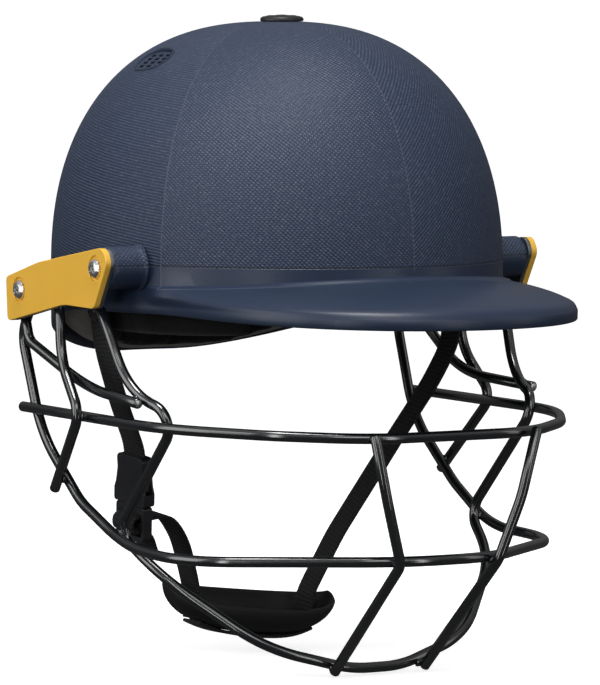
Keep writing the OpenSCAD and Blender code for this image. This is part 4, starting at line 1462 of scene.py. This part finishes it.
class HELMET_OT_straps(bpy.types.Operator):
    """Weaves the chin strap webbing and dresses its anchors"""

    bl_idname = "helmet.straps"
    bl_label = "Straps"

    def execute(self, context):
        strap = context.scene.helmet_strap
        make_finishes(context.scene)
        width, thick = strap.web_width, strap.web_thickness
        for node, (points, radii, first, last) in strap_routes(strap).items():
            coarse = WEB_FINE if node == "strap_tail" else WEB_COARSE
            path = bent(points, radii, STRAP_BEND_STEPS)
            piece = webbing(f"web_{node}", path, (first, last), width, thick, coarse)
            if node == "strap_right_lower":
                self.lower(piece, strap)
            else:
                settle(piece, "buckle_tongue" if node == "strap_tail" else "chin_strap", "webbing", node)
        half = strap.cup_half / MM
        under = [Vector((u, CUP_Y, cup_floor(strap, u) - UNDER_LOW)) * MM
                 for u in spaced(NEAR_SLOT * half - UNDER_PAST, FAR_SLOT * half + UNDER_PAST, 31)]
        piece = webbing("web_strap_under", under, (REARWARD, REARWARD), width, thick)
        settle(piece, "chin_strap", "webbing", "strap_under")
        for hand in HANDS:
            anchor = bevelled_copy(f"anchor_{hand}", f"strap_anchor_{hand}", 0.0003, 2)
            settle(anchor, "helmet", "black_plastic", f"strap_anchor_{hand}")
        return {"FINISHED"}

    def lower(self, piece, strap):
        """Gives the lower stretch its finish, bakes its place into its mesh and hides the solid it stands
        for.
        """
        coat(piece, "webbing")
        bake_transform(piece)
        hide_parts("strap_right_lower")


class HELMET_OT_buckle(bpy.types.Operator):
    """Dresses the side release buckle"""

    bl_idname = "helmet.buckle"
    bl_label = "Buckle"

    def execute(self, context):
        make_finishes(context.scene)
        parts = (("buckle_socket", "chin_strap", "socket_body", 0.0006),
                 ("buckle_tongue", "buckle_tongue", "tongue_body", 0.0006),
                 ("buckle_prong_front", "prong_front", "prong_body_front", 0.0003),
                 ("buckle_prong_rear", "prong_rear", "prong_body_rear", 0.0003))
        for node, body, name, eased_width in parts:
            settle(bevelled_copy(name, node, eased_width), body, "buckle_plastic", node)
        return {"FINISHED"}


def cup_point(strap, t, p, inset):
    """Point of the dish's wall: t turns round it, p climbs from the floor to the rim."""
    around = abs(math.sin(t)) ** CUP_SIDES
    side_h = CUP_FRONT_H if math.sin(t) < 0 else CUP_BACK_H
    rim = side_h * around + CUP_END_H * (1 - around)
    swell = math.sin(p) ** CUP_SWELL
    toward_left = math.cos(t)
    end_exp = CUP_POINT if toward_left > 0 else CUP_ROUND
    u = (strap.cup_half / MM - inset) * spow(toward_left, end_exp) * swell * cup_bow(p, toward_left)
    return Vector((u, CUP_Y + (CUP_HALF_W - inset) * spow(math.sin(t), CUP_ROUND) * swell,
                   CUP_LOW + inset + (rim - inset) * cup_rise(p) - u * CUP_TILT)) * MM


def slot_block(strap, u):
    """Block that cuts a strap slot through the cup floor."""
    half_w = (strap.web_width / MM + SLOT_PLAY) / 2
    rows = [[Vector((u + SLOT_HALF * spow(math.cos(a), 0.5), CUP_Y + half_w * spow(math.sin(a), 0.3),
                     cup_floor(strap, u) + z)) * MM for a in ring(32)] for z in (-SLOT_CUT, SLOT_CUT)]
    return grid("slot_cutter", rows, close=True)


class HELMET_OT_chin_cup(bpy.types.Operator):
    """Moulds the chin cup"""

    bl_idname = "helmet.chin_cup"
    bl_label = "Chin cup"

    def execute(self, context):
        strap = context.scene.helmet_strap
        make_finishes(context.scene)
        wall = strap.cup_wall / MM
        turns = ring(CUP_TURNS, 0.5)
        rises = [math.radians(a) for a in spaced(CUP_START, 90, CUP_RISES)]
        rows = [[cup_point(strap, t, p, 0) for t in turns] for p in rises]
        for a in spaced(0, math.pi, CUP_LIP_STEPS + 1)[1:-1]:
            inset = wall * (1 - math.cos(a)) / 2
            rise = Vector((0, 0, CUP_LIP * math.sin(a)))
            rows.append([cup_point(strap, t, math.pi / 2, inset) + rise for t in turns])
        rows += [[cup_point(strap, t, p, wall) for t in turns] for p in reversed(rises)]
        tips = (Vector((0, CUP_Y, CUP_LOW)) * MM, Vector((0, CUP_Y, CUP_LOW + wall)) * MM)
        cup = grid("chin_cup_moulding", rows, tips=tips)
        for share in (NEAR_SLOT, FAR_SLOT):
            cut_with(cup, slot_block(strap, share * strap.cup_half / MM))
        shaded(cup, CUP_SHARP)
        settle(cup, "chin_strap", "cup_rubber", "chin_cup")
        return {"FINISHED"}


class HELMET_OT_hardware(bpy.types.Operator):
    """Gives the solids that stay their finish"""

    bl_idname = "helmet.hardware"
    bl_label = "Hardware"

    def execute(self, context):
        make_finishes(context.scene)
        coat(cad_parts["button_stem"], "black_plastic")
        coat(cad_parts["threaded_inserts"], "insert_brass")
        coat(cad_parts["anchor_rivets"], "screw_zinc")
        return {"FINISHED"}


# Stage


# The photograph's height in pixels, by which the lens is fitted
PHOTO_TALL = 685
SENSOR = 36
CLIP_END = 50
# Soft lights: the point they face, and each one's place from it to the right, toward the camera
# and up, its size across and up, and its power
LIT_POINT = Vector((0, -0.01, 0))
LIGHTS = {"top_softbox": ((-0.1, 0.42, 1.25), (0.55, 0.42), 12),
          "side_softbox": ((-1.3, 0.6, 0.35), (1.0, 1.3), 9),
          "front_softbox": ((0.35, 1.7, 0.9), (1.1, 0.8), 7),
          "far_softbox": ((1.5, 0.2, 0.3), (0.4, 1.2), 1.5),
          "left_strip": ((-0.75, 1.6, 0.05), (0.22, 1.7), 6),
          "right_strip": ((1.1, 1.2, 0.05), (0.2, 1.7), 4)}
# The paper sweep: how far below the helmet, its profile back and up, its columns, its mottle from
# dark to light and its glow
FLOOR_GAP = 0.0006
FLOOR_PROFILE = ((-3, 0), (2.0, 0), (2.6, 0.06), (3.0, 0.3), (3.2, 0.8), (3.2, 4))
FLOOR_ACROSS = (-5, -2, 0, 2, 5)
PAPER_DARK, PAPER_LIGHT = (0.93, 0.93, 0.93, 1), (0.96, 0.96, 0.96, 1)
PAPER_GLOW = 0.75
# Strength of the surround at the level of the eye and overhead
SURROUND_LEVEL, SURROUND_TOP = 0.07, 0.4


def soft_light(name, place, size, power):
    light = bpy.data.lights.new(name, "AREA")
    light.shape = "RECTANGLE"
    light.size, light.size_y = size
    light.energy = power
    lamp = placed(name, light)
    lamp.location = place
    lamp.rotation_euler = (LIT_POINT - place).to_track_quat("-Z", "Y").to_euler()


class HELMET_OT_stage(bpy.types.Operator):
    """Lays the floor and sets the lights and the camera"""

    bl_idname = "helmet.stage"
    bl_label = "Stage"

    def execute(self, context):
        scene = context.scene
        studio = scene.helmet_studio
        a, e = studio.azimuth, studio.elevation
        back = Vector((math.sin(a) * math.cos(e), -math.cos(a) * math.cos(e), math.sin(e)))
        right = Vector((math.cos(a), math.sin(a), 0))
        up = back.cross(right)
        lens = bpy.data.cameras.new("photo_camera")
        lens.sensor_width = SENSOR
        lens.lens = studio.focal_pixels / PHOTO_TALL * SENSOR
        lens.clip_end = CLIP_END
        camera = placed("photo_camera", lens)
        camera.location = back * studio.distance + right * studio.across + up * studio.lift
        camera.rotation_euler = Matrix((right, up, back)).transposed().to_euler()
        scene.camera = camera
        self.floor(scene)
        for name, ((x, y, z), size, power) in LIGHTS.items():
            soft_light(name, LIT_POINT + back * y + right * x + up * z, size, power)
        self.surround(scene)
        scene.view_settings.view_transform = "Standard"
        return {"FINISHED"}

    def floor(self, scene):
        """Pale floor that sweeps up behind into a backdrop."""
        low = CAD_BOX[0].z - FLOOR_GAP
        rows = [[Vector((x, y, low + z)) for x in FLOOR_ACROSS] for y, z in FLOOR_PROFILE]
        sweep = grid("studio_sweep", rows, wrap=False)
        sweep.data.transform(Matrix.Rotation(scene.helmet_studio.azimuth, 4, "Z"))
        tree, shader, place = start_finish("studio_paper", Roughness=0.9, Emission_Strength=PAPER_GLOW)
        paper = blended(tree, grain(tree, place, 3, 2), PAPER_DARK, PAPER_LIGHT)
        link_finish(tree, shader, Base_Color=paper, Emission_Color=paper)
        coat(sweep, "studio_paper")
        sweep.visible_glossy = False
        sweep.visible_diffuse = False

    def surround(self, scene):
        """Soft surround, lightest overhead."""
        world = bpy.data.worlds.new("studio_surround")
        world.use_nodes = True
        tree = world.node_tree
        way = put(tree, "TexCoord").outputs["Generated"]
        height = put(tree, "SeparateXYZ", {0: way}).outputs["Z"]
        level = put(tree, "MapRange", {0: height, 1: 0.0, 2: 1.0, 3: SURROUND_LEVEL, 4: SURROUND_TOP})
        background = tree.nodes["Background"]
        background.inputs["Color"].default_value = (1, 1, 1, 1)
        tree.links.new(level.outputs[0], background.inputs["Strength"])
        scene.world = world


STEPS = (HELMET_OT_stage, HELMET_OT_shell, HELMET_OT_trim, HELMET_OT_lining, HELMET_OT_side_plates,
         HELMET_OT_grille, HELMET_OT_straps, HELMET_OT_buckle, HELMET_OT_chin_cup, HELMET_OT_hardware)


class HELMET_PT_panel(bpy.types.Panel):
    """Steps and sizes of the helmet"""

    bl_idname = "HELMET_PT_panel"
    bl_label = "Cricket Helmet"
    bl_space_type = "VIEW_3D"
    bl_region_type = "UI"
    bl_category = "Helmet"

    def draw(self, context):
        for step in STEPS:
            self.layout.operator(step.bl_idname)
        for key in GROUPS:
            group = getattr(context.scene, key)
            box = self.layout.box()
            for prop in group.bl_rna.properties:
                if prop.identifier not in ("rna_type", "name"):
                    box.prop(group, prop.identifier)


def register():
    for cls in (*GROUPS.values(), *STEPS, HELMET_PT_panel):
        bpy.utils.register_class(cls)
    for key, cls in GROUPS.items():
        setattr(bpy.types.Scene, key, PointerProperty(type=cls))


def unregister():
    for key in GROUPS:
        delattr(bpy.types.Scene, key)
    for cls in reversed((*GROUPS.values(), *STEPS, HELMET_PT_panel)):
        bpy.utils.unregister_class(cls)


def main():
    register()
    for step in STEPS:
        area, name = step.bl_idname.split(".")
        getattr(getattr(bpy.ops, area), name)()


if __name__ == "__main__":
    main()
